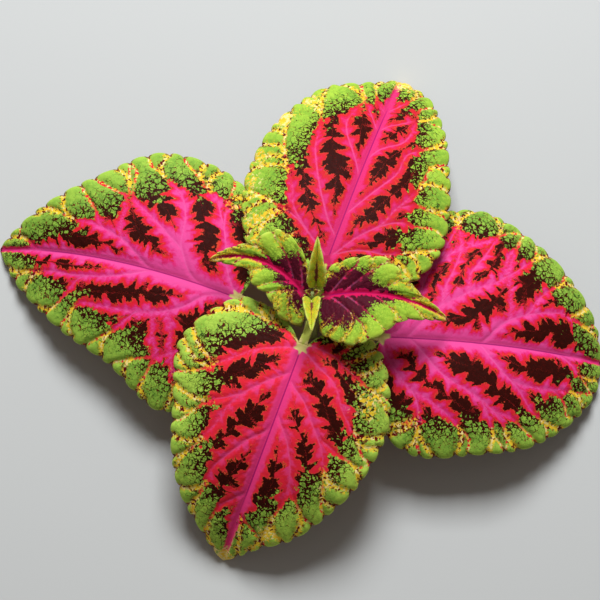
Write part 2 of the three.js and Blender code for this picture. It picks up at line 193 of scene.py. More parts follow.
def rising_curve(knots_x: np.ndarray, knots_y: np.ndarray, x: np.ndarray) -> np.ndarray:
    """Smooth curve through knots that never overshoots them.

    Args:
        knots_x: Rising places of the knots.
        knots_y: Values at the knots.
        x: Places to read the curve at.

    Returns:
        The curve's values at x.
    """
    span = np.diff(knots_x)
    rise = np.diff(knots_y) / span
    slope = np.empty(len(knots_x))
    slope[0], slope[-1] = rise[0], rise[-1]
    slope[1:-1] = 2 * rise[:-1] * rise[1:] / (rise[:-1] + rise[1:])
    i = np.clip(np.searchsorted(knots_x, x) - 1, 0, len(span) - 1)
    t = (x - knots_x[i]) / span[i]
    return (
        (2 * t**3 - 3 * t**2 + 1) * knots_y[i]
        + (t**3 - 2 * t**2 + t) * span[i] * slope[i]
        + (-2 * t**3 + 3 * t**2) * knots_y[i + 1]
        + (t**3 - t**2) * span[i] * slope[i + 1]
    )


def curve_through(points: np.ndarray, steps: int = 60) -> np.ndarray:
    """Closely spaced points of the round curve through a few points.

    Args:
        points: Corner points, one row each.
        steps: Points on each stretch between two of them.

    Returns:
        The curve as rows of points.
    """
    before = np.vstack([points[:1], points[:-2]])
    after = np.vstack([points[2:], points[-1:]])
    lines = []
    for p0, p1, p2, p3 in zip(before, points[:-1], points[1:], after):
        t = np.linspace(0, 1, steps, endpoint=False)[:, None]
        v0, v1 = (p2 - p0) / 2, (p3 - p1) / 2
        lines.append(
            (2 * p1 - 2 * p2 + v0 + v1) * t**3
            + (-3 * p1 + 3 * p2 - 2 * v0 - v1) * t**2
            + v0 * t
            + p1
        )
    return np.vstack([*lines, points[-1:]])


def along_line(line: np.ndarray, share: np.ndarray) -> np.ndarray:
    """Points of a line at shares of its length.

    Args:
        line: Rows of points.
        share: Shares from 0 to 1, in an array of any shape.

    Returns:
        The points, in an array with one axis more than share.
    """
    steps = np.linalg.norm(np.diff(line, axis=0), axis=1)
    place = np.concatenate([[0], np.cumsum(steps)])
    place /= place[-1]
    return np.stack([np.interp(share, place, axis) for axis in line.T], axis=-1)


def distance_to_lines(points: np.ndarray, lines: np.ndarray) -> tuple[np.ndarray, ...]:
    """Distance from points to each of several lines.

    Args:
        points: The points, one row each.
        lines: Lines as an array of line, point and x/y.

    Returns:
        Three arrays of point and line: the distance, the share of the line at the near place,
        and 1 on the line's left or -1 on its right.
    """
    start, step = lines[:, :-1], np.diff(lines, axis=1)
    length2 = np.maximum((step**2).sum(-1), 1e-12)
    near = np.full((len(points), len(lines)), 1e9)
    share, side = np.zeros_like(near), np.ones_like(near)
    for k in range(start.shape[1]):
        way = step[None, :, k]
        offset = points[:, None] - start[None, :, k]
        t = np.clip((offset * way).sum(-1) / length2[None, :, k], 0, 1)
        gap = np.linalg.norm(offset - t[..., None] * way, axis=-1)
        closer = gap < near
        near = np.where(closer, gap, near)
        share = np.where(closer, (k + t) / start.shape[1], share)
        turn = way[..., 0] * offset[..., 1] - way[..., 1] * offset[..., 0]
        side = np.where(closer, np.where(turn < 0, -1, 1), side)
    return near, share, side


def cell_relief(points: np.ndarray, size: float, seed: int) -> np.ndarray:
    """Pebbled relief of uneven cells.

    Args:
        points: Flat points, one row each.
        size: Usual width of a cell.
        seed: Number that picks the cells.

    Returns:
        0 on the lines between cells, rising to about 1 in the middle of each.
    """
    for_column, for_row, for_seed, for_mixing = CELL_NUMBERS
    base = np.floor(points / size).astype(int)
    best = np.full(len(points), 1e9)
    second = best.copy()
    for i in (-1, 0, 1):
        for j in (-1, 0, 1):
            cell = base + (i, j)
            mixed = cell[:, 0] * for_column + cell[:, 1] * for_row + seed * for_seed
            mixed = (mixed ^ (mixed >> 13)) * for_mixing
            jitter = np.stack([(mixed >> 8) & 255, (mixed >> 16) & 255], axis=-1) / 255
            middle = (cell + CELL_START + CELL_SPREAD * jitter) * size
            gap = np.linalg.norm(middle - points, axis=1)
            second = np.minimum(second, np.maximum(best, gap))
            best = np.minimum(best, gap)
    return smooth(0, CELL_RISE, (second - best) / size)


def linear(red: int, green: int, blue: int) -> tuple[float, float, float, float]:
    """Colour for a shader from its usual 0 to 255 values."""
    values = [c / 255 for c in (red, green, blue)]
    return *[c / 12.92 if c < 0.04045 else ((c + 0.055) / 1.055) ** 2.4 for c in values], 1.0


def stem_half_side(z: float) -> float:
    """Half the stem's side, which tapers, and swells where leaves join it.

    Args:
        z: Height above the surface.

    Returns:
        Half the side.
    """
    plain = mix(STEM_SIDE, STEM_TOP_SIDE, z / STEM_LINE[-1, 2]) / 2
    near = max(math.exp(-(((z - height) / NODE_REACH) ** 2)) for height in NODE_HEIGHTS)
    return plain * (1 + NODE_SWELLING * near)


def stem_middle(z: float) -> np.ndarray:
    """Middle of the stem at a height."""
    line = curve_through(STEM_LINE)
    return line[np.argmin(np.abs(line[:, 2] - z))]


def deselect_all() -> None:
    """Leaves object mode's selection empty."""
    bpy.ops.object.select_all(action="DESELECT")


def edit_all(operator: str, **settings: float) -> None:
    """Runs one edit-mode mesh operator on the whole active mesh.

    Args:
        operator: Name of the operator under bpy.ops.mesh.
        settings: The operator's settings.
    """
    bpy.ops.object.mode_set(mode="EDIT")
    bpy.ops.mesh.select_all(action="SELECT")
    getattr(bpy.ops.mesh, operator)(**settings)
    bpy.ops.object.mode_set(mode="OBJECT")


def read_points(mesh: bpy.types.Mesh) -> np.ndarray:
    """Reads where a mesh's corners are.

    Args:
        mesh: The mesh.

    Returns:
        Places in metres, one row each.
    """
    values = np.empty(len(mesh.vertices) * 3, np.float32)
    mesh.vertices.foreach_get("co", values)
    return values.reshape(-1, 3).astype(float)


def write_points(mesh: bpy.types.Mesh, points: np.ndarray) -> None:
    """Moves a mesh's corners to the places given."""
    mesh.vertices.foreach_set("co", points.astype(np.float32).ravel())
    mesh.update()


def write_whole_numbers(mesh: bpy.types.Mesh, name: str, values: np.ndarray) -> None:
    """Stores a whole number on each corner of a mesh."""
    layer = mesh.attributes.new(name, "INT", "POINT")
    layer.data.foreach_set("value", values.astype(np.int32))


def read_whole_numbers(mesh: bpy.types.Mesh, name: str) -> np.ndarray:
    """Reads whole numbers that are stored on the corners of a mesh.

    Args:
        mesh: The mesh.
        name: The name that they are stored under.

    Returns:
        One number for each corner.
    """
    values = np.zeros(len(mesh.vertices), np.int32)
    mesh.attributes[name].data.foreach_get("value", values)
    return values.astype(int)


def drop_values(mesh: bpy.types.Mesh, *names: str) -> None:
    """Removes stored values from the corners of a mesh."""
    for name in names:
        mesh.attributes.remove(mesh.attributes[name])


def extrude_rings(mesh: bpy.types.Mesh, count: int) -> None:
    """Extrudes the selected faces ring by ring, and numbers each ring's corners from 1.

    Args:
        mesh: The active mesh, in edit mode, with whole numbers called ring.
        count: Number of rings.
    """
    for number in range(1, count + 1):
        bpy.ops.mesh.extrude_region_move()
        shape = bmesh.from_edit_mesh(mesh)
        ring = shape.verts.layers.int["ring"]
        for corner in shape.verts:
            if corner.select:
                corner[ring] = number
        bmesh.update_edit_mesh(mesh)
    sort_rings(mesh)
    bpy.ops.object.mode_set(mode="OBJECT")


def sort_rings(mesh: bpy.types.Mesh) -> None:
    """Sorts the corners and faces of extruded rings, whose own order changes with each run.

    Args:
        mesh: The active mesh, in edit mode, with whole numbers called ring.
    """
    shape = bmesh.from_edit_mesh(mesh)
    layers = shape.verts.layers.int
    shape.verts.index_update()
    corners = sorted(
        shape.verts,
        key=lambda corner: (
            [corner[layer] for layer in (layers["ring"], *layers.values())]
            if corner[layers["ring"]]
            else [0, corner.index]
        ),
    )
    for number, corner in enumerate(corners):
        corner.index = number
    shape.verts.sort()
    shape.faces.index_update()
    is_new = {face: any(corner[layers["ring"]] for corner in face.verts) for face in shape.faces}
    faces = sorted(
        shape.faces,
        key=lambda face: (
            (1, *sorted(corner.index for corner in face.verts)) if is_new[face] else (0, face.index)
        ),
    )
    for number, face in enumerate(faces):
        face.index = number
    shape.faces.sort()
    bmesh.update_edit_mesh(mesh)


# ---------------------------------------------------------------------------- kinds and parts


@dataclass(frozen=True)
class LeafKind:
    """Sizes that the leaves of one kind share, and how finely they are meshed."""

    teeth: int
    tooth_depth: float
    wave: float
    waves: int
    groove: float
    groove_width: float
    stalk_radius: float
    rib_depth: float
    columns_per_tooth: int
    smooth_columns: int
    rib_rows: int
    blade_rows: int
    puff: float
    quilting: float
    quilt_size: float
    vein_groove: float
    ridge: float
    margin_droop: float


class Kind(Enum):
    """The kinds of leaf on the shoot."""

    LARGE = LeafKind(
        teeth=21, tooth_depth=1.5, wave=1.1, waves=5, groove=0.9, groove_width=3.2,
        stalk_radius=1.8, rib_depth=1.5, columns_per_tooth=16, smooth_columns=12, rib_rows=3,
        blade_rows=44, puff=0.75, quilting=0.12, quilt_size=3.0, vein_groove=0.4, ridge=0.35,
        margin_droop=0.6,
    )
    SMALL = LeafKind(
        teeth=11, tooth_depth=0.8, wave=0.4, waves=4, groove=0.4, groove_width=1.8,
        stalk_radius=1.1, rib_depth=0.8, columns_per_tooth=14, smooth_columns=8, rib_rows=3,
        blade_rows=30, puff=0.6, quilting=0.15, quilt_size=2.2, vein_groove=0.35, ridge=0.2,
        margin_droop=0.4,
    )
    TINY = LeafKind(
        teeth=5, tooth_depth=0.35, wave=0.0, waves=1, groove=0.0, groove_width=1.0,
        stalk_radius=0.6, rib_depth=0.3, columns_per_tooth=12, smooth_columns=6, rib_rows=2,
        blade_rows=18, puff=0.15, quilting=0.05, quilt_size=1.4, vein_groove=0.15, ridge=0.1,
        margin_droop=0.1,
    )
    BUD = LeafKind(
        teeth=3, tooth_depth=0.15, wave=0.0, waves=1, groove=0.0, groove_width=1.0,
        stalk_radius=0.25, rib_depth=0.1, columns_per_tooth=12, smooth_columns=4, rib_rows=1,
        blade_rows=12, puff=0.05, quilting=0.02, quilt_size=0.8, vein_groove=0.05, ridge=0.04,
        margin_droop=0.0,
    )


class Tint(Enum):
    """Places where a leaf's colours differ from its usual pattern; the value is the attribute."""

    PINK = "pink_place"
    YELLOW = "yellow_place"
    DARK = "dark_place"
    GREEN = "green_place"


class Slot(Enum):
    """Colour slots of the part."""

    STEM = "stem"
    LARGE_LEAF = "large_leaf"
    SMALL_LEAF = "small_leaf"


@dataclass(frozen=True)
class Place:
    """A soft round place on a flat leaf that takes a tint."""

    tint: Tint
    x: float
    y: float
    radius: float
    amount: float


@dataclass(frozen=True)
class Vein:
    """A side vein: points on the flat leaf, and its half width where it starts and ends."""

    points: tuple[tuple[float, float], ...]
    width: float
    end_width: float = 0.6


# ---------------------------------------------------------------------------- finishes


class Graph:
    """Adds shader nodes to one new material and wires them together."""

    def __init__(self, name: str) -> None:
        """Starts the material.

        Args:
            name: The material's name.
        """
        self.material = bpy.data.materials.new(name)
        self.material.use_nodes = True
        self.tree = self.material.node_tree
        self.shader = self.tree.nodes["Principled BSDF"]

    def feed(self, socket: Socket, value: object) -> None:
        """Wires a socket to another, or sets its value.

        Args:
            socket: The socket that takes the value.
            value: Another socket, or a plain value.
        """
        if isinstance(value, Socket):
            self.tree.links.new(value, socket)
        else:
            socket.default_value = value

    def node(self, kind: str, *values: object, **settings: object) -> bpy.types.Node:
        """Adds a node.

        Args:
            kind: What kind of node it is.
            values: What its first inputs take.
            settings: Its properties.

        Returns:
            The node.
        """
        node = self.tree.nodes.new(f"ShaderNode{kind}")
        for key, value in settings.items():
            setattr(node, key, value)
        for socket, value in zip(node.inputs, values):
            self.feed(socket, value)
        return node

    def attribute(self, name: str, output: str = "Fac") -> Socket:
        """Value that the mesh carries."""
        return self.node("Attribute", attribute_name=name).outputs[output]

    def math(self, operation: str, *values: object) -> Socket:
        """Result of a sum, product or other operation."""
        return self.node("Math", *values, operation=operation).outputs[0]

    def times(self, first: object, second: object) -> Socket:
        """Product of two values."""
        return self.math("MULTIPLY", first, second)

    def total(self, *terms: object) -> Socket:
        """Adds up numbers, sockets and pairs.

        Args:
            terms: The terms, where a pair is a socket and its factor.

        Returns:
            The sum.
        """
        result = 0.0
        for term in terms:
            if isinstance(term, tuple):
                result = self.math("MULTIPLY_ADD", *term, result)
            else:
                result = self.math("ADD", term, result)
        return result

    def step(self, low: float, high: float, value: object) -> Socket:
        """Soft step from 0 at low to 1 at high; it falls where low is the greater."""
        ends = (low, high, 0.0, 1.0) if low < high else (high, low, 1.0, 0.0)
        return self.node("MapRange", value, *ends, interpolation_type="SMOOTHSTEP").outputs[0]

    def texture(self, kind: str, scale: float, **settings: object) -> bpy.types.Node:
        """Adds a pattern.

        Args:
            kind: What kind of pattern it is.
            scale: How many of its features fit in one unit.
            settings: Its properties.

        Returns:
            The node.
        """
        node = self.node(f"Tex{kind}", **settings)
        node.inputs["Scale"].default_value = scale
        return node

    def clouds(self, point: object, scale: float, detail: float) -> bpy.types.Node:
        """Adds a cloudy noise.

        Args:
            point: Place to read it at.
            scale: How many clouds fit in one unit.
            detail: How many finer layers it has.

        Returns:
            The node.
        """
        node = self.texture("Noise", scale)
        self.feed(node.inputs["Vector"], point)
        node.inputs["Detail"].default_value = detail
        return node

    def noise(self, point: object, scale: float, detail: float = 2.0) -> Socket:
        """Cloudy noise about nought, mostly between -1 and 1."""
        clouds = self.clouds(point, scale, detail)
        return self.math("MULTIPLY_ADD", clouds.outputs["Fac"], 4.0, -2.0)

    def cells(self, point: object, size: float, line: bool = False) -> bpy.types.Node:
        """Adds a cell pattern, whose Color is random in each cell.

        Args:
            point: Place to read it at, or the place along a line.
            size: Usual width of a cell.
            line: Whether the cells lie along a line.

        Returns:
            The node.
        """
        node = self.texture("Voronoi", 1 / size, voronoi_dimensions="1D" if line else "3D")
        self.feed(node.inputs["W" if line else "Vector"], point)
        return node

    def seams(self, point: object, size: float) -> Socket:
        """Distance to the seam between cells.

        Args:
            point: Place to read it at.
            size: Usual width of a cell.

        Returns:
            The distance in cell widths.
        """
        node = self.cells(point, size)
        node.feature = "DISTANCE_TO_EDGE"
        return node.outputs["Distance"]

    def warp(self, point: object, scale: float, reach: float) -> Socket:
        """Point that is pushed about by noise, so that cells on it grow uneven."""
        push = (self.clouds(point, scale, 1.0).outputs["Color"], (2 * reach,) * 3, point)
        return self.node("VectorMath", *push, operation="MULTIPLY_ADD").outputs[0]

    def parts(self, value: Socket) -> tuple[Socket, ...]:
        """The three numbers of a point or colour."""
        return tuple(self.node("SeparateXYZ", value).outputs)

    def blend(self, share: object, low: object, high: object) -> Socket:
        """Mixes two colours.

        Args:
            share: Share of the second.
            low: The first colour.
            high: The second colour.

        Returns:
            The mixed colour.
        """
        node = self.node("Mix", data_type="RGBA")
        self.feed(node.inputs["Factor"], share)
        for socket, value in zip(node.inputs[6:8], (low, high)):
            self.feed(socket, linear(*value) if isinstance(value, tuple) else value)
        return node.outputs[2]

    def dress(self, colour: object, rough: object, height: object, depth: float) -> None:
        """Gives the shader its colour, roughness and relief.

        Args:
            colour: Colour of the surface.
            rough: Its roughness.
            height: Height of its fine relief from 0 to 1.
            depth: What a height of 1 measures, in millimetres.
        """
        bump = self.node("Bump")
        self.feed(bump.inputs["Height"], height)
        self.feed(bump.inputs["Distance"], depth * MM)
        self.feed(bump.inputs["Strength"], 1.0)
        self.feed(self.shader.inputs["Base Color"], colour)
        self.feed(self.shader.inputs["Roughness"], rough)
        self.feed(self.shader.inputs["Normal"], bump.outputs[0])


class LeafGraph(Graph):
    """A leaf's material, with the values that its colours are mixed from, in millimetres."""

    def __init__(self, name: str, cell_size: float) -> None:
        """Reads what the mesh carries, and adds the noises and cells that make it uneven.

        Args:
            name: The material's name.
            cell_size: Usual width of a fine cell.
        """
        super().__init__(name)
        self.point = self.attribute("leaf_point", "Vector")
        self.edge, self.centre, self.run, self.lace, self.to_rim, self.tooth, self.quilt = (
            self.attribute(key)
            for key in ("edge", "centre", "run", "lace", "to_rim", "tooth", "quilt")
        )
        self.pink, self.yellow, self.dark, green = (self.attribute(tint.value) for tint in Tint)
        self.wobble, self.warped = self.noise(self.point, 0.42), self.warp(self.point, 0.75, 1.1)
        self.broad, self.fine = self.noise(self.point, 0.1, 1.0), self.noise(self.point, 2.4)
        cell = self.cells(self.warped, cell_size)
        self.pore = cell.outputs["Distance"]
        self.chance, self.other, self.third = self.parts(cell.outputs["Color"])
        self.across = self.math("ABSOLUTE", self.parts(self.point)[1])
        self.band = self.total(
            self.attribute("band"), (green, -9.0), (self.pink, 7.0), (self.wobble, 0.8)
        )
        self.in_green = self.step(5.0, -2.0, self.band)


@dataclass(frozen=True)
class LeafFinish:
    """Finish of a variegated leaf: bright veins on dark ground and a green margin.

    Its widths and distances are millimetres, and its strengths and shares run from 0 to 1.
    """

    name: str
    cell: float = 0.9
    clump: float = 2.3
    clump_seam: float = 15.0
    crack_depth: float = 3.0
    seam_width: float = 0.17
    spur_spacing: float = 6.6
    spur_length: float = 5.4
    speckle_zone: float = 9.5
    spread: float = 0.4
    tip_rib: float = 1.3
    tip_line: float = 0.5
    rib_depth: float = 1.0
    jag: float = 1.1
    fringe: float = 1.7
    glow: float = 0.8
    line_width: float = 0.6
    line_strength: float = 1.0
    rib_glow: float = 0.0
    line_zone: float = 3.5
    specks: float = 1.0
    ridge_strength: float = 0.16
    magenta: Colour = (232, 44, 122)
    pink: Colour = (240, 84, 162)
    coral: Colour = (230, 36, 54)
    orange: Colour = (228, 84, 48)
    ridge_line: Colour = (244, 130, 196)
    midrib_line: Colour = (150, 10, 100)
    ground: Colour = (52, 13, 8)
    ground_red: Colour = (94, 14, 12)
    green: Colour = (116, 162, 58)
    light_green: Colour = (166, 204, 76)
    tooth_green: Colour = (190, 216, 92)
    seam_green: Colour = (60, 94, 32)
    yellow: Colour = (248, 204, 52)
    cream: Colour = (250, 228, 150)
    speck: Colour = (104, 12, 22)
    stalk: Colour = (196, 206, 92)
    star: Colour = (228, 212, 132)
    under: Colour = (178, 160, 132)
    under_share: float = 0.42
    roughness: float = 0.6
    specular: float = 0.05

    def build(self) -> bpy.types.Material:
        """Makes the material.

        Returns:
            The material, which reads the values that a leaf's mesh carries.
        """
        g = LeafGraph(self.name, self.cell)
        colour = self._ground(g)
        colour = g.blend(self._green_share(g), colour, self._green(g))
        colour = self._veins(g, colour)
        colour = self._fine_lines(g, colour)
        colour = self._marks(g, colour)
        colour = self._ridges(g, colour)
        rough = g.total(self.roughness, (g.fine, 0.07), (g.quilt, -0.06))
        pores = g.math("SUBTRACT", 1.0, g.pore)
        g.dress(colour, rough, g.total((pores, 0.6), (g.fine, 0.12)), 0.09)
        g.shader.inputs["Specular IOR Level"].default_value = self.specular
        return g.material

    def _ground(self, g: LeafGraph) -> Socket:
        """Near-black ground with a little red in it; in the margin its cracks are paler.

        Args:
            g: The material's nodes and the leaf's values.

        Returns:
            The ground's colour.
        """
        share = g.step(-0.2, 1.8, g.total(g.fine, (g.chance, 1.0), -0.6))
        ground = g.blend(share, self.ground, self.ground_red)
        crack = g.blend(g.step(0.5, 0.6, g.third), self.seam_green, self.speck)
        return g.blend(g.step(-2.0, -8.0, g.band), ground, crack)

    def _green_share(self, g: LeafGraph) -> Socket:
        """Where the leaf is green: a margin that breaks up inwards into lobed clumps.

        Args:
            g: The material's nodes and the leaf's values.

        Returns:
            1 on green and 0 on ground.
        """
        clump = g.cells(g.warped, self.clump)
        clump_chance = g.parts(clump.outputs["Color"])[0]
        seam = g.seams(g.warped, self.clump)
        zone = g.total(self.speckle_zone, (g.broad, 0.25 * self.speckle_zone))
        reach = g.times(g.total((clump_chance, 0.75), (g.chance, 0.35)), zone)
        crack = g.seams(g.warped, self.cell)
        seam = g.math("MAXIMUM", g.total(1.0, (seam, -1 / self.seam_width)), 0.0)
        crack = g.math("MAXIMUM", g.total(1.0, (crack, -8.0)), 0.0)
        depth = g.total(
            reach, (g.band, -1.0), (seam, -self.clump_seam), (crack, -self.crack_depth),
            (g.step(1.6, 0.5, g.lace), -2.0),
        )
        return g.step(-0.4, 0.4, depth)

    def _green(self, g: LeafGraph) -> Socket:
        """Uneven green, lightest at the rim and darker in the cracks between its cells, with
        painted shade: lighter on the crests of the quilted relief and darker in its seams.

        Args:
            g: The material's nodes and the leaf's values.

        Returns:
            The green's colour.
        """
        # the quilt term is painted shade: lighter green on the puffs of the quilted relief, darker
        # in the seams between them
        share = g.total((g.broad, 0.7), (g.fine, 0.35), (g.quilt, 0.5), (g.third, 0.8), -0.4)
        green = g.blend(g.step(-1.2, 1.4, share), self.green, self.light_green)
        near_rim = g.step(4.5, 0.6, g.total(g.to_rim, (g.wobble, 0.6)))
        green = g.blend(g.times(near_rim, 0.8), green, self.light_green)
        green = g.blend(g.step(1.2, 0.1, g.to_rim), green, self.tooth_green)
        crack = g.step(0.16, 0.0, g.seams(g.warped, 1.6 * self.cell))
        crack = g.times(crack, g.step(-11.0, -1.0, g.band))
        green = g.blend(g.times(crack, 0.75), green, self.seam_green)
        glow = g.times(g.step(1.9, 0.5, g.lace), g.step(0.45, 0.65, g.chance))
        rib = g.step(self.tip_rib + 1.3, self.tip_rib + 0.5, g.across)
        glow = g.total((glow, 0.75), (rib, self.rib_glow))
        return g.blend(g.times(glow, g.in_green), green, self.yellow)

    def _veins(self, g: LeafGraph, colour: Socket) -> Socket:
        """Lays the coloured bands along the veins, with pointed spurs into the ground.

        Args:
            g: The material's nodes and the leaf's values.
            colour: Colour of the blade between the veins.

        Returns:
            The colour with the bands.
        """
        along = g.total((g.run, 1.0), (g.edge, -0.6), (g.wobble, 0.7), (g.fine, 0.15))
        spurs = (
            self._spurs(g, along, self.spur_spacing, self.spur_length, 3.0),
            self._spurs(g, along, 0.37 * self.spur_spacing, 0.4 * self.spur_length, 2.0),
        )
        front = g.total(
            g.edge, *((spur, -1.0) for spur in spurs), (g.chance, -self.jag),
            0.5 * self.jag - self.spread, (g.wobble, -0.8), (g.pink, -5.0), (g.dark, 5.0),
        )
        thin = g.math(
            "MINIMUM", g.total(g.centre, -self.tip_line), g.total(g.across, -self.tip_rib)
        )
        thin = g.total(thin, (g.wobble, -0.2), (g.chance, -0.7), 0.35)
        front = g.total(
            g.times(front, g.math("SUBTRACT", 1.0, g.in_green)),
            g.times(thin, g.in_green),
        )
        depth = g.total(
            (front, -0.6), (g.edge, -0.4), (g.wobble, 0.4), (g.pink, 1.0),
            (g.step(3.4, 0.8, g.across), self.rib_depth),
        )
        redder = g.step(0.0, 0.9, g.total((front, -1.0), (g.third, 0.4)))
        red = g.blend(redder, self.orange, self.coral)
        pink = g.blend(g.step(0.3, self.fringe, depth), red, self.magenta)
        pink = g.blend(g.times(g.step(1.2, 3.4, depth), self.glow), pink, self.pink)
        pink = g.blend(g.times(g.step(0.35, 0.9, g.dark), 0.5), pink, self.speck)
        old = g.step(1.5, -5.5, g.total(g.band, (g.chance, 3.5), (g.third, 2.0)))
        old = g.times(old, g.step(0.8, 2.6, g.total(g.across, (g.chance, 0.8))))
        pink = g.blend(old, pink, self._tired(g))
        return g.blend(g.step(0.3, -0.25, front), colour, pink)

    def _spurs(
        self, g: LeafGraph, along: Socket, spacing: float, length: float, taper: float
    ) -> Socket:
        """Reach of one set of uneven spurs along the edge of a band.

        Args:
            g: The material's nodes and the leaf's values.
            along: Place along the vein.
            spacing: Usual distance between spurs.
            length: Length of the longest.
            taper: How quickly a spur narrows; at 2 neighbours meet at their feet.

        Returns:
            How far the band reaches beyond its plain edge.
        """
        spurs = g.cells(along, spacing, line=True)
        chance = g.parts(spurs.outputs["Color"])[0]
        shape = g.math("MAXIMUM", g.total(1.0, (spurs.outputs["Distance"], -taper)), 0.0)
        return g.times(g.math("POWER", shape, 0.7), g.total(0.15, (chance, length)))

    def _tired(self, g: LeafGraph) -> Socket:
        """Colour of a vein that has lost its red: yellow and cream with coral beads."""
        pale = g.blend(g.step(0.35, 0.6, g.third), self.yellow, self.cream)
        return g.blend(g.step(0.68, 0.74, g.chance), pale, self.coral)

    def _fine_lines(self, g: LeafGraph, colour: Socket) -> Socket:
        """Draws the beaded lines that run from the veins to the notches.

        Args:
            g: The material's nodes and the leaf's values.
            colour: Colour of the blade so far.

        Returns:
            The colour with the lines.
        """
        width = g.total(0.75 * self.line_width, (g.wobble, 0.16), (g.chance, self.line_width))
        line = g.step(0.3, -0.3, g.math("SUBTRACT", g.lace, width))
        line = g.times(line, g.step(self.line_zone + 3.0, self.line_zone, g.band))
        redder = g.total((g.step(-7.0, 4.0, g.band), 0.55), (g.third, 0.5), (g.broad, 0.05))
        tint = g.blend(g.step(0.45, 0.7, g.other), self.yellow, self.cream)
        tint = g.blend(g.step(0.45, 0.75, redder), tint, self.coral)
        tint = g.blend(g.step(0.82, 0.86, g.other), tint, self.speck)
        return g.blend(g.times(line, self.line_strength), colour, tint)

    def _marks(self, g: LeafGraph, colour: Socket) -> Socket:
        """Adds the red specks along the lines, the nicks at the notches and the yellow places.

        Args:
            g: The material's nodes and the leaf's values.
            colour: Colour of the blade so far.

        Returns:
            The colour with the marks.
        """
        near_line = g.step(2.6, 0.8, g.lace)
        between = g.times(g.step(7.0, 2.0, g.band), near_line)
        flecks = g.times(between, g.step(0.78, 0.82, g.third))
        colour = g.blend(g.times(flecks, self.specks), colour, self.speck)
        spots = g.times(near_line, g.in_green)
        spots = g.times(g.step(0.9, 0.93, g.other), spots)
        colour = g.blend(g.times(spots, self.specks), colour, self.yellow)
        notch = g.math("ABSOLUTE", g.math("SINE", g.times(g.tooth, math.pi)))
        depth = g.total(g.to_rim, (notch, 2.4), (g.chance, 0.9), (g.wobble, -0.4))
        nick = g.times(g.step(2.5, 1.9, depth), g.step(0.15, 0.25, g.third))
        colour = g.blend(g.times(nick, 0.9 * self.specks), colour, self.speck)
        share = g.step(0.35, 0.6, g.total(g.yellow, (g.chance, 0.5), (g.wobble, 0.15), -0.25))
        pale = g.blend(g.step(0.45, 0.75, g.other), self.yellow, self.cream)
        return g.blend(share, colour, pale)

    def _ridges(self, g: LeafGraph, colour: Socket) -> Socket:
        """Adds the veins' own thin lines, the star at the stalk and the paler underside.

        Args:
            g: The material's nodes and the leaf's values.
            colour: Colour of the blade so far.

        Returns:
            The finished colour.
        """
        side = g.times(g.step(0.5, 0.12, g.centre), g.step(1.0, 7.0, g.band))
        side = g.times(side, g.step(0.6, 1.5, g.across))
        colour = g.blend(g.times(side, self.ridge_strength), colour, self.ridge_line)
        middle = g.times(g.step(0.42, 0.12, g.across), g.step(4.0, 14.0, g.band))
        colour = g.blend(g.times(middle, 0.75), colour, self.midrib_line)
        stalk = g.attribute("stalk")
        star = g.total(stalk, (g.step(1.0, 0.2, g.centre), 0.26), (g.wobble, 0.06))
        pale = g.blend(g.step(0.95, 1.0, stalk), self.star, self.stalk)
        colour = g.blend(g.step(0.55, 0.8, star), colour, pale)
        paler = g.times(g.attribute("underside"), self.under_share)
        return g.blend(paler, colour, self.under)


LOWER_SKIN = LeafFinish("lower_leaf_skin")
BACK_SKIN = LeafFinish(
    "back_leaf_skin", rib_depth=2.0, fringe=3.0, glow=0.35, ridge_strength=0.22,
    star=(196, 40, 92), magenta=(220, 30, 104), pink=(230, 78, 140), coral=(216, 38, 50),
    green=(122, 170, 56), light_green=(176, 212, 70),
)
# Front leaf: its own pattern has a broad magenta midrib and wider bands; its colours are also
# lighter than the other leaves' as painted light, making up for the front leaf sloping away from
# the key light.
FRONT_SKIN_WITH_PAINTED_LIGHT = LeafFinish(
    "front_leaf_skin_with_painted_light", rib_depth=3.4, fringe=5.7, glow=0.35, spread=0.7, tip_rib=1.6,
    ridge_strength=0.14, magenta=(238, 36, 118), pink=(248, 92, 156), coral=(238, 42, 60),
    orange=(238, 102, 52), green=(134, 180, 64), light_green=(184, 218, 84),
    tooth_green=(200, 226, 100),
)
SMALL_SKIN = LeafFinish(
    "small_leaf_skin", cell=0.7, clump=1.8, clump_seam=3.0, crack_depth=1.5, spur_spacing=3.0,
    spur_length=1.0, speckle_zone=2.0, spread=-0.4, tip_rib=0.75, tip_line=0.25, jag=0.6,
    fringe=0.7, glow=0.3, line_width=0.2, line_strength=0.75, rib_glow=0.6, specks=0.6,
    star=(182, 44, 84), magenta=(208, 20, 86), pink=(216, 40, 100), coral=(148, 24, 56),
    orange=(136, 34, 56), ground=(80, 18, 36), ground_red=(116, 32, 52), green=(142, 188, 54),
    light_green=(184, 214, 70), tooth_green=(204, 224, 92), seam_green=(104, 148, 40),
)
YOUNG_SKIN = LeafFinish(
    "young_leaf_skin", cell=0.5, clump=1.0, clump_seam=0.5, crack_depth=0.3, spur_spacing=1.4,
    spur_length=0.1, speckle_zone=0.6, spread=-0.2, tip_rib=0.0, tip_line=0.0, jag=0.2,
    fringe=0.4, glow=0.2, line_width=0.1, line_strength=0.1, specks=0.2,
    magenta=(140, 50, 70), pink=(150, 60, 80), coral=(150, 70, 60), orange=(170, 110, 60),
    ground=(140, 84, 62), ground_red=(150, 100, 60), green=(176, 200, 54),
    light_green=(198, 214, 66), tooth_green=(212, 224, 92), seam_green=(150, 176, 46),
    ridge_line=(190, 110, 110), midrib_line=(110, 40, 60),
)


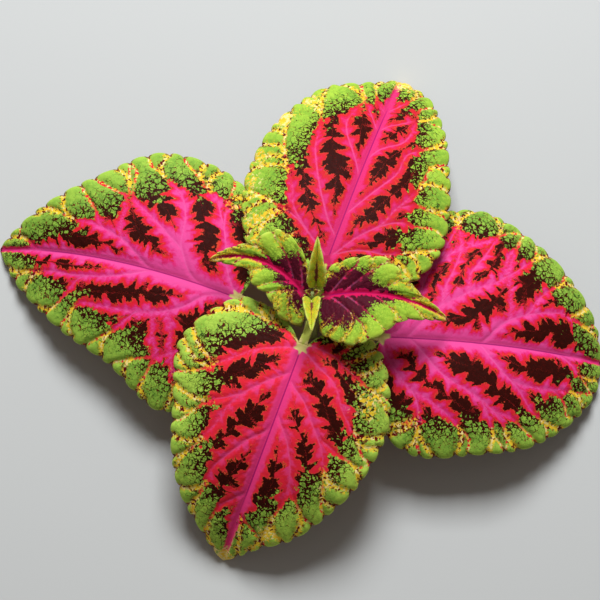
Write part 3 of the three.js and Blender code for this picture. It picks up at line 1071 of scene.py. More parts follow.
@dataclass(frozen=True)
class StemFinish:
    """Finish of the square green stem: fine long ridges, a purple tinge and a pale cut."""

    name: str = "stem_skin"
    green: Colour = (150, 176, 82)
    light: Colour = (190, 204, 118)
    purple: Colour = (122, 70, 84)
    cut: Colour = (214, 218, 164)
    cut_top: tuple[float, float] = (0.75, 0.55)
    ridge_scale: tuple[float, float, float] = (1500.0, 1500.0, 160.0)
    blotch_scale: float = 130.0
    roughness: float = 0.48
    ridge_depth: float = 0.06

    def build(self) -> bpy.types.Material:
        """Makes the material.

        Returns:
            The material, which reads the stem's place in space.
        """
        g = Graph(self.name)
        place = g.node("TexCoord").outputs["Object"]
        x, y, z = g.parts(place)
        stretched = g.node("CombineXYZ")
        for socket, value, factor in zip(stretched.inputs, (x, y, z), self.ridge_scale):
            g.feed(socket, g.times(value, factor))
        ridges = g.noise(stretched.outputs[0], 1.0, 3.0)
        blotch = g.noise(place, self.blotch_scale)
        colour = g.blend(g.step(-1.0, 1.0, ridges), self.green, self.light)
        colour = g.blend(g.times(g.step(0.2, 1.4, blotch), 0.5), colour, self.purple)
        colour = g.blend(g.step(*(height * MM for height in self.cut_top), z), colour, self.cut)
        g.dress(colour, g.total(self.roughness, (ridges, 0.06)), ridges, self.ridge_depth)
        return g.material


@dataclass(frozen=True)
class Corners:
    """For each corner of a leaf's mesh, its grid column and row, side, stalk ring and place."""

    column: np.ndarray
    row: np.ndarray
    under: np.ndarray
    ring: np.ndarray
    across: np.ndarray


STALK_VALUES = {
    "centre": 3.0,
    "edge": -1.0,
    "run": 0.0,
    "lace": FAR,
    "to_rim": FAR,
    "tooth": 0.5,
    "quilt": 0.5,
}


@dataclass
class Leaf:
    """One leaf with its stalk, as one closed piece."""

    name: str
    kind: LeafKind
    base: tuple[float, float, float]
    length: float
    heading: float
    pitch: tuple[float, float]
    rim: tuple[tuple[float, ...], tuple[float, ...]]
    margin: tuple[tuple[float, ...], tuple[float, ...]]
    camber: tuple[float, float]
    midrib_width: float
    node_height: float | None = None
    turn: float = 0.0
    pitch_curve: float = 1.0
    roll: tuple[float, float] = (0.0, 0.0)
    fold: float = 7.0
    veins: tuple[Vein, ...] = ()
    places: tuple[Place, ...] = ()
    on_surface: bool = False

    def __post_init__(self) -> None:
        """Works out the midrib's course."""
        share = np.linspace(0, 1, MIDRIB_STEPS + 1)
        pitch = np.radians(mix(*self.pitch, share**self.pitch_curve))
        heading = np.radians(self.heading + self.turn * share)
        flat = np.cos(pitch)
        along = np.stack([flat * np.cos(heading), flat * np.sin(heading), np.sin(pitch)], axis=1)
        step = (along[1:] + along[:-1]) * self.length / MIDRIB_STEPS / 2
        level = np.stack([-np.sin(heading), np.cos(heading), 0 * heading], axis=1)
        up = np.cross(along, level)
        roll = np.radians(mix(*self.roll, share))[:, None]
        self._along = along
        self._points = np.vstack([[0, 0, 0], np.cumsum(step, axis=0)]) + self.base
        self._left = level * np.cos(roll) + up * np.sin(roll)
        self._up = up * np.cos(roll) - level * np.sin(roll)

    # ---- the flat leaf

    def rib_half_width(self, x: np.ndarray) -> np.ndarray:
        """Half the midrib's width at x."""
        return self.kind.stalk_radius * mix(1, RIB_TIP_SHARE, x / self.length)

    def rim_line(self, side: int) -> np.ndarray:
        """Rim of one half without its teeth.

        Args:
            side: 1 for the left half and -1 for the right.

        Returns:
            Points from the stalk to the tip, one row each.
        """
        centre = RIM_CENTRE * self.length
        radii = np.array(self.rim[0 if side > 0 else 1])
        angles = np.radians(RIM_ANGLES[1:-1])
        middle = np.stack(
            [centre + radii * np.cos(angles), side * radii * np.sin(angles)], axis=1
        )
        ends = [(x, side * self.rib_half_width(x)) for x in (0.0, self.length)]
        return curve_through(np.vstack([ends[:1], middle, ends[1:]]))

    def tooth_share(self, side: int, phase: np.ndarray) -> np.ndarray:
        """Share of the rim at a tooth number; whole numbers are the notches.

        Args:
            side: 1 for the left half and -1 for the right.
            phase: Tooth numbers from 0 to the number of teeth.

        Returns:
            Shares of the rim's length.
        """
        teeth = self.kind.teeth
        n = np.arange(teeth + 1)
        uneven = TOOTH_UNEVENNESS * np.sin(UNEVEN_TURN * n + side)
        uneven[[0, -1]] = 0
        return np.interp(phase, n, mix(SMOOTH_RIM, 1, (n + uneven) / teeth))

    def tooth_heights(self, phase: np.ndarray) -> np.ndarray:
        """How far the toothed rim stands out from the plain one.

        Args:
            phase: Tooth numbers, below 0 where the rim is smooth.

        Returns:
            Heights, below 0 in the notches.
        """
        teeth = self.kind.teeth
        rising = (phase + TOOTH_FADE_START) / TOOTH_FADE_IN
        fade = np.clip(np.minimum(rising, (teeth - phase) / TOOTH_FADE_OUT), 0, 1)
        swell = np.abs(np.sin(np.pi * phase)) ** TOOTH_BLUNTNESS - NOTCH_SHARE
        return self.kind.tooth_depth * swell * fade * (phase >= 0)

    def columns(self, side: int) -> tuple[np.ndarray, ...]:
        """Columns of the mesh on one half.

        Args:
            side: 1 for the left half and -1 for the right.

        Returns:
            Where each column starts on the midrib, its point on the plain rim, the rim's
            outward direction there, its tooth number and the share of its place along the rim.
        """
        kind = self.kind
        count = kind.teeth * kind.columns_per_tooth
        early = np.arange(kind.smooth_columns) / kind.smooth_columns
        late = np.arange(count + 1) / count
        begin = np.concatenate([early * SMOOTH_RIM, mix(SMOOTH_RIM, 1, late)])
        phase = np.concatenate([early - 1, late * kind.teeth])
        toothed = self.tooth_share(side, late * kind.teeth)
        share = np.concatenate([early * SMOOTH_RIM, toothed])
        start = rising_curve(COLUMN_RIM, COLUMN_MIDRIB, begin) * self.length
        line = self.rim_line(side)
        ahead, behind = (along_line(line, np.clip(share + k, 0, 1)) for k in (RIM_STEP, -RIM_STEP))
        tangent = unit(ahead - behind)
        outward = np.stack([tangent[:, 1], -tangent[:, 0]], axis=1) * -side
        return start, along_line(line, share), outward, phase, begin

    def half_grid(self, side: int) -> Fields:
        """Flat grid of one half, from the midrib to the rim.

        Args:
            side: 1 for the left half and -1 for the right.

        Returns:
            Arrays of column and row: the flat points, their distance from the rim and their
            tooth number.
        """
        kind = self.kind
        start, rim, outward, phase, place = self.columns(side)
        begin = np.stack([start, side * self.rib_half_width(start)], axis=1)
        bow = np.minimum(1, place * ARCH_RAMP) * COLUMN_ARCH * side
        reach = rim - begin
        turned = np.stack([-reach[:, 1], reach[:, 0]], axis=1)
        middle = (begin + rim) / 2 + turned * bow[:, None]
        t = np.linspace(0, 1, kind.blade_rows + 1)
        across = (t - ROW_CROWDING * np.sin(2 * np.pi * t) / (2 * np.pi))[None, :, None]
        blade = (
            (1 - across) ** 2 * begin[:, None]
            + 2 * across * (1 - across) * middle[:, None]
            + across**2 * rim[:, None]
        )
        course = unit(rim - middle)
        lean = np.maximum((course * outward).sum(1), STEEPEST_TOOTH)
        out = (self.tooth_heights(phase) / lean)[:, None]
        blade += course[:, None] * (out * smooth(TOOTH_REACH, 0, self._inward(blade)))[..., None]
        inner = np.arange(kind.rib_rows)[None, :, None] / kind.rib_rows
        foot = np.stack([start, 0 * start], axis=1)[:, None]
        flat = np.concatenate([mix(foot, begin[:, None], inner), blade], axis=1)
        teeth = np.repeat(phase[:, None], flat.shape[1], axis=1)
        return {"flat": flat, "to_rim": self._inward(flat), "tooth": teeth}

    def _inward(self, flat: np.ndarray) -> np.ndarray:
        """Distance along each column from its end at the rim.

        Args:
            flat: Flat points as an array of column, row and x/y.

        Returns:
            Distances as an array of column and row.
        """
        steps = np.linalg.norm(np.diff(flat, axis=1), axis=2)
        inward = np.cumsum(steps[:, ::-1], axis=1)[:, ::-1]
        return np.concatenate([inward, 0 * steps[:, :1]], axis=1)

    def notches(self, side: int) -> np.ndarray:
        """The rim's notches on one half.

        Args:
            side: 1 for the left half and -1 for the right.

        Returns:
            Flat points, one row each.
        """
        kind = self.kind
        first = kind.smooth_columns + kind.columns_per_tooth
        return self.half_grid(side)["flat"][first : -1 : kind.columns_per_tooth, -1]

    def grid(self) -> Fields:
        """Flat grid of the whole leaf.

        Returns:
            The arrays of half_grid, with rows from the left rim to the right.
        """
        left, right = self.half_grid(1), self.half_grid(-1)
        return {
            key: np.concatenate([left[key][:, ::-1], right[key][:, 1:]], axis=1) for key in left
        }

    # ---- the bent leaf

    def frame_at(self, x: np.ndarray) -> tuple[np.ndarray, np.ndarray, np.ndarray, np.ndarray]:
        """Midrib's place and directions.

        Args:
            x: Distances along the midrib, in an array of any shape.

        Returns:
            Points and the directions along, left and up.
        """
        at = np.clip(x / self.length, 0, 1) * MIDRIB_STEPS
        steps = np.arange(MIDRIB_STEPS + 1)
        point, along, left, up = (
            np.stack([np.interp(at, steps, axis) for axis in values.T], axis=-1)
            for values in (self._points, self._along, self._left, self._up)
        )
        along = unit(along)
        beyond = np.minimum(x, 0) + np.maximum(x - self.length, 0)
        return point + along * beyond[..., None], along, left, up

    def relief(self, flat: np.ndarray) -> np.ndarray:
        """Height of the midrib's groove and the rim's slow waves.

        Args:
            flat: Flat points, in an array whose last axis is x/y.

        Returns:
            Heights.
        """
        kind, centre = self.kind, RIM_CENTRE * self.length
        x, y = flat[..., 0], flat[..., 1]
        angle = np.degrees(np.arctan2(np.abs(y), x - centre))
        right = y < 0
        reach = [
            np.interp(-angle, -RIM_ANGLES, [centre, *radii, self.length - centre])
            for radii in self.rim
        ]
        out = np.hypot(x - centre, y) / np.where(right, reach[1], reach[0])
        turn = np.radians(angle)
        wave = np.sin(turn) * np.sin(turn * kind.waves + right * WAVE_SHIFT + self.length)
        groove = np.exp(-((y / kind.groove_width) ** 2)) * (1 - np.minimum(out, 1) ** 2)
        return kind.wave * np.minimum(out, WAVE_LIMIT) ** 3 * wave - kind.groove * groove

    def place(self, flat: np.ndarray) -> np.ndarray:
        """Places in space of flat points.

        Args:
            flat: Flat points, in an array whose last axis is x/y.

        Returns:
            Points in the same array with x/y/z.
        """
        x, y = flat[..., 0], flat[..., 1]
        point, _, left, up = self.frame_at(x)
        bend = np.radians(np.where(y < 0, self.camber[1], self.camber[0])) / CAMBER_REACH
        lean = math.radians(self.fold)
        out = (np.sin(lean) - np.sin(lean - bend * np.abs(y))) / bend * np.sign(y)
        rise = (np.cos(lean - bend * np.abs(y)) - np.cos(lean)) / bend + self.relief(flat)
        return point + left * out[..., None] + up * rise[..., None]

    def normal(self, flat: np.ndarray) -> np.ndarray:
        """Blade's upward direction at flat points.

        Args:
            flat: Flat points, in an array whose last axis is x/y.

        Returns:
            Directions one long.
        """
        ahead, aside = np.array([NORMAL_STEP, 0]), np.array([0, NORMAL_STEP])
        along_x = self.place(flat + ahead) - self.place(flat - ahead)
        along_y = self.place(flat + aside) - self.place(flat - aside)
        return unit(np.cross(along_x, along_y))

    # ---- veins

    def lines(self) -> tuple[np.ndarray, np.ndarray]:
        """Veins carried on to the rim's notches, and the veinlets between them.

        Returns:
            The veins and the veinlets, each as an array of line, point and x/y.
        """
        main, taken = [], {1: set(), -1: set()}
        ends = {side: self.notches(side) for side in (1, -1)}
        for vein in self.veins:
            points = np.array(vein.points, float)
            side = 1 if points[-1, 1] > 0 else -1
            course = unit(points[-1] - points[-2])
            offset = ends[side] - points[-1]
            far = np.linalg.norm(offset, axis=1)
            cost = far * (1 + TURNING_COST * (1 - unit(offset) @ course))
            pick = int(np.argmin(cost))
            taken[side].add(pick)
            bend = points[-1] + course * far[pick] * VEIN_BEND
            line = curve_through(np.vstack([points, bend, ends[side][pick]]), VEIN_STEPS)
            main.append(along_line(line, np.linspace(0, 1, VEIN_POINTS)))
        fine = [
            line for side in (1, -1) for line in self._veinlets(side, main, ends[side], taken[side])
        ]
        return np.array(main), np.array(fine)

    def _veinlets(
        self, side: int, main: list[np.ndarray], ends: np.ndarray, taken: set[int]
    ) -> list[np.ndarray]:
        """Thin veins of one half, from the main veins to the notches that those leave free.

        Args:
            side: 1 for the left half and -1 for the right.
            main: The main veins.
            ends: The half's notches.
            taken: Numbers of the notches where main veins end.

        Returns:
            The veinlets as rows of points.
        """
        near = [line for line in main if line[-1, 1] * side > 0] or [
            np.stack([np.linspace(0, self.length, VEIN_POINTS), np.zeros(VEIN_POINTS)], axis=1)
        ]
        sources = np.vstack([line[VEINLET_STARTS] for line in near])
        course = np.vstack([unit(np.gradient(line, axis=0))[VEINLET_STARTS] for line in near])
        outward = unit(ends - [RIM_CENTRE * self.length, 0])
        t = np.linspace(0, 1, VEINLET_POINTS)[:, None]
        fine = []
        for k in sorted(set(range(len(ends))) - taken):
            offset = ends[k] - sources
            far = np.linalg.norm(offset, axis=1)
            ahead = (unit(offset) * course).sum(1)
            inwards = (unit(offset) * outward[k]).sum(1)
            cost = far + ASIDE_COST * (1 - ahead) + INWARD_COST * (1 - inwards)
            cost += SHORT_COST * (far < SHORT_SHARE * self.length)
            best = int(np.argmin(cost))
            bend = sources[best] + course[best] * far[best] * VEINLET_BEND
            fine.append((1 - t) ** 2 * sources[best] + 2 * t * (1 - t) * bend + t**2 * ends[k])
        return fine

    def vein_fields(self, flat: np.ndarray) -> Fields:
        """Distances from the veins at flat points.

        Args:
            flat: Flat points, one row each.

        Returns:
            centre: distance from the nearest vein's middle. edge: distance from the edge of
            its coloured band, below 0 inside. run: place along the vein. lace: distance from
            the nearest veinlet.
        """
        main, fine = self.lines()
        reach = np.array([self.midrib_width, *(vein.width for vein in self.veins)])
        thin = np.array([MIDRIB_TIP_WIDTH, *(vein.end_width for vein in self.veins)])
        midrib = np.array([[(0.0, 0.0), (self.length, 0.0)]])
        gap, share, side = distance_to_lines(flat, midrib)
        if len(main):
            more = distance_to_lines(flat, main)
            gap, share, side = (np.hstack(pair) for pair in zip((gap, share, side), more))
        width = mix(reach, thin, share**VEIN_TAPER)
        nearest = np.argmin(gap - width, axis=1)
        rows = np.arange(len(flat))
        lengths = [np.linalg.norm(np.diff(line, axis=0), axis=1).sum() for line in main]
        run = share[rows, nearest] * np.array([self.length, *lengths])[nearest]
        run += RUN_BETWEEN_VEINS * nearest + RUN_BETWEEN_SIDES * side[rows, nearest]
        lace = distance_to_lines(flat, fine)[0].min(axis=1)
        return {
            "centre": gap.min(axis=1),
            "edge": (gap - width)[rows, nearest],
            "run": run,
            "lace": lace,
        }

    # ---- the mesh

    def surfaces(self, grid: Fields) -> Fields:
        """Upper and lower surface of the blade, and the values that its finish reads.

        Args:
            grid: The flat grid.

        Returns:
            Arrays of column and row: the upper and lower points in millimetres, and one
            array for each value.
        """
        kind, flat = self.kind, grid["flat"]
        shape = flat.shape[:2]
        points = flat.reshape(-1, 2)
        fields = {key: value.reshape(shape) for key, value in self.vein_fields(points).items()}
        to_rim = grid["to_rim"]
        half = np.abs(flat[..., 1])
        rib = np.maximum(self.rib_half_width(flat[..., 0]), RIB_LEAST_WIDTH)
        away = smooth(*RIB_EDGE, half / rib)
        lobes = 1 - np.exp(-((np.minimum(fields["lace"], fields["centre"]) / LOBE_WIDTH) ** 2))
        lobes *= smooth(*LOBE_FADE, to_rim) * away * smooth(*LOBE_RIM, to_rim)
        quilts = cell_relief(points, kind.quilt_size, len(self.name)).reshape(shape)
        groove = np.exp(-((fields["centre"] / GROOVE_WIDTH) ** 2))
        droop = smooth(*DROOP_FADE, to_rim) * smooth(*DROOP_START, flat[..., 0] + half)
        height = (
            kind.puff * lobes
            + kind.quilting * (quilts - QUILT_MIDDLE) * away * smooth(*QUILT_FADE, to_rim)
            - kind.vein_groove * groove * smooth(*GROOVE_FADE, to_rim)
            - kind.margin_droop * droop
        )
        rounding = np.sqrt(np.clip(to_rim / RIM_ROUNDING, 0, 1))
        thick = BLADE_THICKNESS / 2 * mix(RIM_THICKNESS, 1, rounding)
        depth = kind.rib_depth * mix(1, RIB_TIP_SHARE, np.clip(flat[..., 0] / self.length, 0, 1))
        keel = depth * np.sqrt(np.clip(1 - (half / rib) ** 2, 0, 1)) * (half < rib * KEEL_EDGE)
        ridge = kind.ridge * np.exp(-((fields["centre"] / RIDGE_WIDTH) ** 2)) * away
        ridge *= smooth(*RIDGE_FADE, to_rim)
        middle, normal = self.place(flat), self.normal(flat)
        fields |= {
            "upper": middle + normal * (height + thick)[..., None],
            "lower": middle + normal * (height - thick - keel - ridge)[..., None],
            "to_rim": to_rim,
            "tooth": grid["tooth"],
            "quilt": quilts,
        }
        return fields

    def stalk_rings(self, base_ring: np.ndarray, across: np.ndarray, count: int) -> np.ndarray:
        """Rings of the stalk, from the blade back to just off the stem.

        Args:
            base_ring: Points in space where the stalk meets the blade.
            across: Each point's place across the stalk: -1 to 1 from right to left, and 1
                for the upper side or -1 for the lower.
            count: Number of rings.

        Returns:
            Points as an array of ring, point and x/y/z.
        """
        node = stem_middle(self.node_height)
        point, along, left, _ = (value[0] for value in self.frame_at(np.zeros(1)))
        outward = unit(np.array([*(point - node)[:2], 0.0]))
        width = self.kind.stalk_radius * STALK_FLARE
        slant, straight = sorted(np.abs(outward[:2]))
        reach = (stem_half_side(self.node_height) * STEM_WIDEST + width * slant) / straight + GAP
        start = node + outward * reach
        handle = np.linalg.norm(start - point) * STALK_BEND
        corners = np.array([start, start + outward * handle, point - along * handle, point])
        level = np.array([-outward[1], outward[0], 0.0])
        rings = []
        for share in 1 - (np.arange(count) + 1) / count:
            t, rest = share, 1 - share
            middle = np.array([rest**3, 3 * t * rest**2, 3 * t**2 * rest, t**3]) @ corners
            course = np.array([rest**2, 2 * t * rest, t**2]) @ np.diff(corners, axis=0)
            course = unit(course)
            aside = mix(level, left, share)
            aside = unit(aside - course * (aside @ course))
            up = np.cross(course, aside)
            radius = self.kind.stalk_radius * mix(STALK_FLARE, 1, share)
            place, upper = across.T
            angle = np.radians(-STALK_EDGE_ANGLE - (1 - place) * (90 - STALK_EDGE_ANGLE))
            top = STALK_TOP - STALK_TOP_HOLLOW * (1 - place**2)
            x = np.where(upper > 0, place * STALK_HALF_WIDTH, np.cos(angle))
            y = np.where(upper > 0, top, STALK_DEPTH * np.sin(angle))
            section = (x[:, None] * aside + y[:, None] * up) * radius
            rings.append(middle + mix(section, base_ring - point, share**4))
        return np.array(rings)

    def build(self) -> bpy.types.Object:
        """Models the leaf and stores on it what its finish reads.

        Returns:
            The finished leaf.
        """
        grid = self.grid()
        fields = self.surfaces(grid)
        leaf = self._blade(fields["upper"])
        mesh = leaf.data
        ring_count = 0 if self.node_height is None else self._extrude_stalk(mesh)
        numbers = {key: read_whole_numbers(mesh, key) for key in CORNER_NUMBERS}
        middle_row = (grid["tooth"].shape[1] - 1) // 2
        where = Corners(**numbers, across=(middle_row - numbers["row"]) / self.kind.rib_rows)
        write_points(mesh, self._corner_points(fields, where, ring_count) * MM)
        self._write_fields(mesh, grid, fields, where)
        self._write_map(mesh, grid["flat"], where)
        drop_values(mesh, *CORNER_NUMBERS)
        bpy.ops.object.shade_smooth()
        return leaf

    def _blade(self, upper: np.ndarray) -> bpy.types.Object:
        """Models the blade from a grid that takes its upper surface and is thickened.

        Args:
            upper: Points of the upper surface, as an array of column and row.

        Returns:
            The blade, whose corners carry their column, row, side and a ring of 0.
        """
        columns, rows = upper.shape[:2]
        deselect_all()
        bpy.ops.mesh.primitive_grid_add(x_subdivisions=columns - 1, y_subdivisions=rows - 1, size=2)
        leaf = bpy.context.object
        leaf.name = leaf.data.name = f"{self.name}_blade"
        mesh = leaf.data
        place = read_points(mesh)
        column = np.rint((place[:, 0] + 1) / 2 * (columns - 1)).astype(int)
        row = np.rint((1 - place[:, 1]) / 2 * (rows - 1)).astype(int)
        middle_row, rib_rows = (rows - 1) // 2, self.kind.rib_rows
        in_rib = np.clip(row, middle_row - rib_rows, middle_row + rib_rows)
        row = np.where(column == 0, in_rib, row)
        write_points(mesh, upper[column, row] * MM)
        for key, values in (("column", column), ("row", row), ("ring", 0 * row)):
            write_whole_numbers(mesh, key, values)
        edit_all("remove_doubles", threshold=WELD_DISTANCE)
        thicken = leaf.modifiers.new("blade", "SOLIDIFY")
        thicken.thickness = BLADE_THICKNESS * MM
        thicken.offset = -1
        top_count = len(mesh.vertices)
        bpy.ops.object.modifier_apply(modifier=thicken.name)
        under = np.arange(len(leaf.data.vertices)) >= top_count
        write_whole_numbers(leaf.data, "under", under)
        return leaf

    def _extrude_stalk(self, mesh: bpy.types.Mesh) -> int:
        """Extrudes the stalk's rings from the end of the midrib.

        Args:
            mesh: The blade's mesh, whose stalk rings get their places later.

        Returns:
            Number of rings.
        """
        gap = float(np.linalg.norm(np.array(self.base) - stem_middle(self.node_height)))
        count = max(STALK_FEWEST_RINGS, round(gap / STALK_RING_SPACING))
        bpy.ops.object.mode_set(mode="EDIT")
        bpy.ops.mesh.select_mode(type="FACE")
        bpy.ops.mesh.select_all(action="DESELECT")
        shape = bmesh.from_edit_mesh(mesh)
        column = shape.verts.layers.int["column"]
        for face in shape.faces:
            if all(corner[column] == 0 for corner in face.verts):
                face.select_set(True)
        bmesh.update_edit_mesh(mesh)
        extrude_rings(mesh, count)
        return count

    def _corner_points(self, fields: Fields, where: Corners, ring_count: int) -> np.ndarray:
        """Places in space of the mesh's corners.

        Args:
            fields: The blade's values, as arrays of column and row.
            where: Which grid point or stalk ring each corner belongs to.
            ring_count: Number of rings on the stalk.

        Returns:
            Points in millimetres, one row each.
        """
        column, row, under, ring = where.column, where.row, where.under, where.ring
        points = np.where(
            under[:, None] > 0, fields["lower"][column, row], fields["upper"][column, row]
        )
        if ring_count:
            first = np.flatnonzero((ring == 0) & (column == 0) & (np.abs(where.across) <= 1))
            keys = {(int(row[i]), int(under[i])): k for k, i in enumerate(first)}
            across = np.stack([where.across[first], 1 - 2 * under[first]], axis=1)
            rings = self.stalk_rings(points[first], across, ring_count)
            for i in np.flatnonzero(ring):
                points[i] = rings[ring[i] - 1, keys[int(row[i]), int(under[i])]]
        if self.on_surface:
            points[:, 2] -= points[:, 2].min()
        return points - PLANT_MIDDLE

    def _write_fields(
        self, mesh: bpy.types.Mesh, grid: Fields, fields: Fields, where: Corners
    ) -> None:
        """Stores on the mesh the values that the leaf's finish reads.

        Args:
            mesh: The finished mesh.
            grid: The flat grid.
            fields: The blade's values, as arrays of column and row.
            where: Which grid point or stalk ring each corner belongs to.
        """
        column, row, stalk = where.column, where.row, where.ring > 0
        flat = grid["flat"][column, row]
        x, y = flat.T
        values = {
            key: np.where(stalk, other, fields[key][column, row])
            for key, other in STALK_VALUES.items()
        }
        share = np.clip(fields["tooth"][column, row] / self.kind.teeth, 0, 1)
        left, right = (np.interp(share, np.linspace(0, 1, len(side)), side) for side in self.margin)
        values["band"] = np.where(stalk, FAR, values["to_rim"] - np.where(y < 0, right, left))
        values["underside"] = where.under
        reach = np.hypot(x, STAR_NARROWING * y) / self.kind.stalk_radius
        values["stalk"] = np.where(stalk, 1.0, smooth(STAR_REACH, 0, reach))
        for tint in Tint:
            values[tint.value] = np.zeros(len(x))
        for place in self.places:
            gap = np.hypot(x - place.x, y - place.y) / place.radius
            values[place.tint.value] += place.amount * np.exp(-(gap**2)) * ~stalk
        for key, value in values.items():
            layer = mesh.attributes.new(key, "FLOAT", "POINT")
            layer.data.foreach_set("value", np.asarray(value, np.float32))
        x = np.where(stalk, -STALK_PATTERN_STEP * where.ring, x)
        y = np.where(stalk, STALK_PATTERN_STEP * where.across, y)
        seed = np.full(len(x), float(sum(map(ord, self.name)) % NAME_SEEDS))
        layer = mesh.attributes.new("leaf_point", "FLOAT_VECTOR", "POINT")
        points = np.stack([x, y, seed], axis=1)
        layer.data.foreach_set("vector", points.astype(np.float32).ravel())

    def _write_map(self, mesh: bpy.types.Mesh, flat: np.ndarray, where: Corners) -> None:
        """Lays the leaf out flat for its baked finish: upper side, lower side and stalk.

        Args:
            mesh: The finished mesh.
            flat: Flat points of the grid.
            where: Which grid point or stalk ring each corner belongs to.
        """
        loops = np.empty(len(mesh.loops), int)
        mesh.loops.foreach_get("vertex_index", loops)
        sizes = np.empty(len(mesh.polygons), int)
        mesh.polygons.foreach_get("loop_total", sizes)
        face = np.repeat(np.arange(len(sizes)), sizes)

        def of_face(value: np.ndarray, reduce: np.ufunc) -> np.ndarray:
            """One value per loop, reduced over the loops of its face."""
            starts = np.concatenate([[0], np.cumsum(sizes)[:-1]])
            return reduce.reduceat(value, starts)[face]

        low, high = flat.reshape(-1, 2).min(0), flat.reshape(-1, 2).max(0)
        extent = (high - low).max()
        under, ring = where.under[loops], where.ring[loops]
        point = flat[where.column, where.row][loops]
        outward = unit(point - [RIM_CENTRE * self.length, 0])
        all_under = of_face(under, np.minimum) == 1
        pushed = point + outward * (BLADE_THICKNESS * under * ~all_under)[:, None]
        upper = (pushed - low) * MAP_UPPER_SIZE / extent + MAP_EDGE
        lower = (point - low) * MAP_LOWER_SIZE / extent + MAP_LOWER_CORNER
        places = np.where(all_under[:, None], lower, upper)
        rib_rows = self.kind.rib_rows
        around = np.rint((1 - where.across) * rib_rows).astype(int)[loops]
        total = 4 * rib_rows + 2
        around = np.where(under == 1, total - 1 - around, around)
        wraps = of_face(around, np.maximum) - of_face(around, np.minimum) > total / 2
        around = around + total * (wraps & (around < total / 2))
        last = where.ring.max()
        cap = (of_face(ring, np.minimum) == last) & (last > 0)
        strip = np.stack([around / (total + 1), ring / (last + 3)], axis=1)
        lid = np.stack([(1 - where.across[loops]) / 4, (last + 1 + under) / (last + 3)], axis=1)
        strip = np.where(cap[:, None], lid, strip) * MAP_STALK_SIZE + MAP_STALK_CORNER
        on_stalk = of_face(ring, np.maximum) > 0
        places = np.where(on_stalk[:, None], strip, places)
        layer = mesh.uv_layers.new(name="OFBake")
        layer.data.foreach_set("uv", places.astype(np.float32).ravel())


@dataclass
class Stem:
    """Short square stem with a swelling at each pair of leaves and a domed growing point."""

    name: str = "stem"
    corners: int = 48
    rings: int = 56
    dome_rings: int = 8
    squareness: float = 5.0
    side_groove: float = 0.035
    sharp_angle: float = 50.0

    def build(self) -> bpy.types.Object:
        """Models the stem from a disc that is extruded ring by ring.

        Returns:
            The finished stem.
        """
        deselect_all()
        bpy.ops.mesh.primitive_circle_add(vertices=self.corners, radius=1.0, fill_type="NGON")
        stem = bpy.context.object
        stem.name = stem.data.name = f"{self.name}_shoot"
        mesh = stem.data
        write_whole_numbers(mesh, "corner", np.arange(self.corners))
        write_whole_numbers(mesh, "ring", np.zeros(self.corners))
        bpy.ops.object.mode_set(mode="EDIT")
        bpy.ops.mesh.select_all(action="SELECT")
        extrude_rings(mesh, self.rings + self.dome_rings - 1)
        ring, corner = (read_whole_numbers(mesh, key) for key in ("ring", "corner"))
        write_points(mesh, self._points(ring, corner) * MM)
        drop_values(mesh, "ring", "corner")
        edit_all("normals_make_consistent", inside=False)
        bpy.ops.object.shade_smooth_by_angle(angle=math.radians(self.sharp_angle))
        return stem

    def _points(self, ring: np.ndarray, corner: np.ndarray) -> np.ndarray:
        """Places of the stem's corners in millimetres.

        Args:
            ring: Each corner's ring; the last ones close the dome.
            corner: Each corner's number round its ring.

        Returns:
            Points, one row each.
        """
        low, high = STEM_LINE[0, 2], STEM_LINE[-1, 2]
        share = np.clip(ring / (self.rings - 1), 0, 1)
        height = mix(low, high, share)
        lift = np.clip((ring - self.rings + 1) / self.dome_rings, 0, 1) * math.pi / 2
        middle = np.array([stem_middle(z) for z in height])
        half = np.array([stem_half_side(z) for z in height]) * np.cos(lift * STEM_DOME_TURN)
        angle = corner / self.corners * 2 * math.pi
        n = self.squareness
        reach = (np.abs(np.cos(angle)) ** n + np.abs(np.sin(angle)) ** n) ** (-1 / n)
        reach *= STEM_WIDEST - self.side_groove * (0.5 + 0.5 * np.cos(4 * angle)) ** 2
        around = np.stack([np.cos(angle), np.sin(angle)], axis=1)
        points = middle.copy()
        points[:, :2] += around * (half * reach)[:, None]
        points[:, 2] = height + np.sin(lift) * STEM_DOME_HEIGHT
        return points - PLANT_MIDDLE


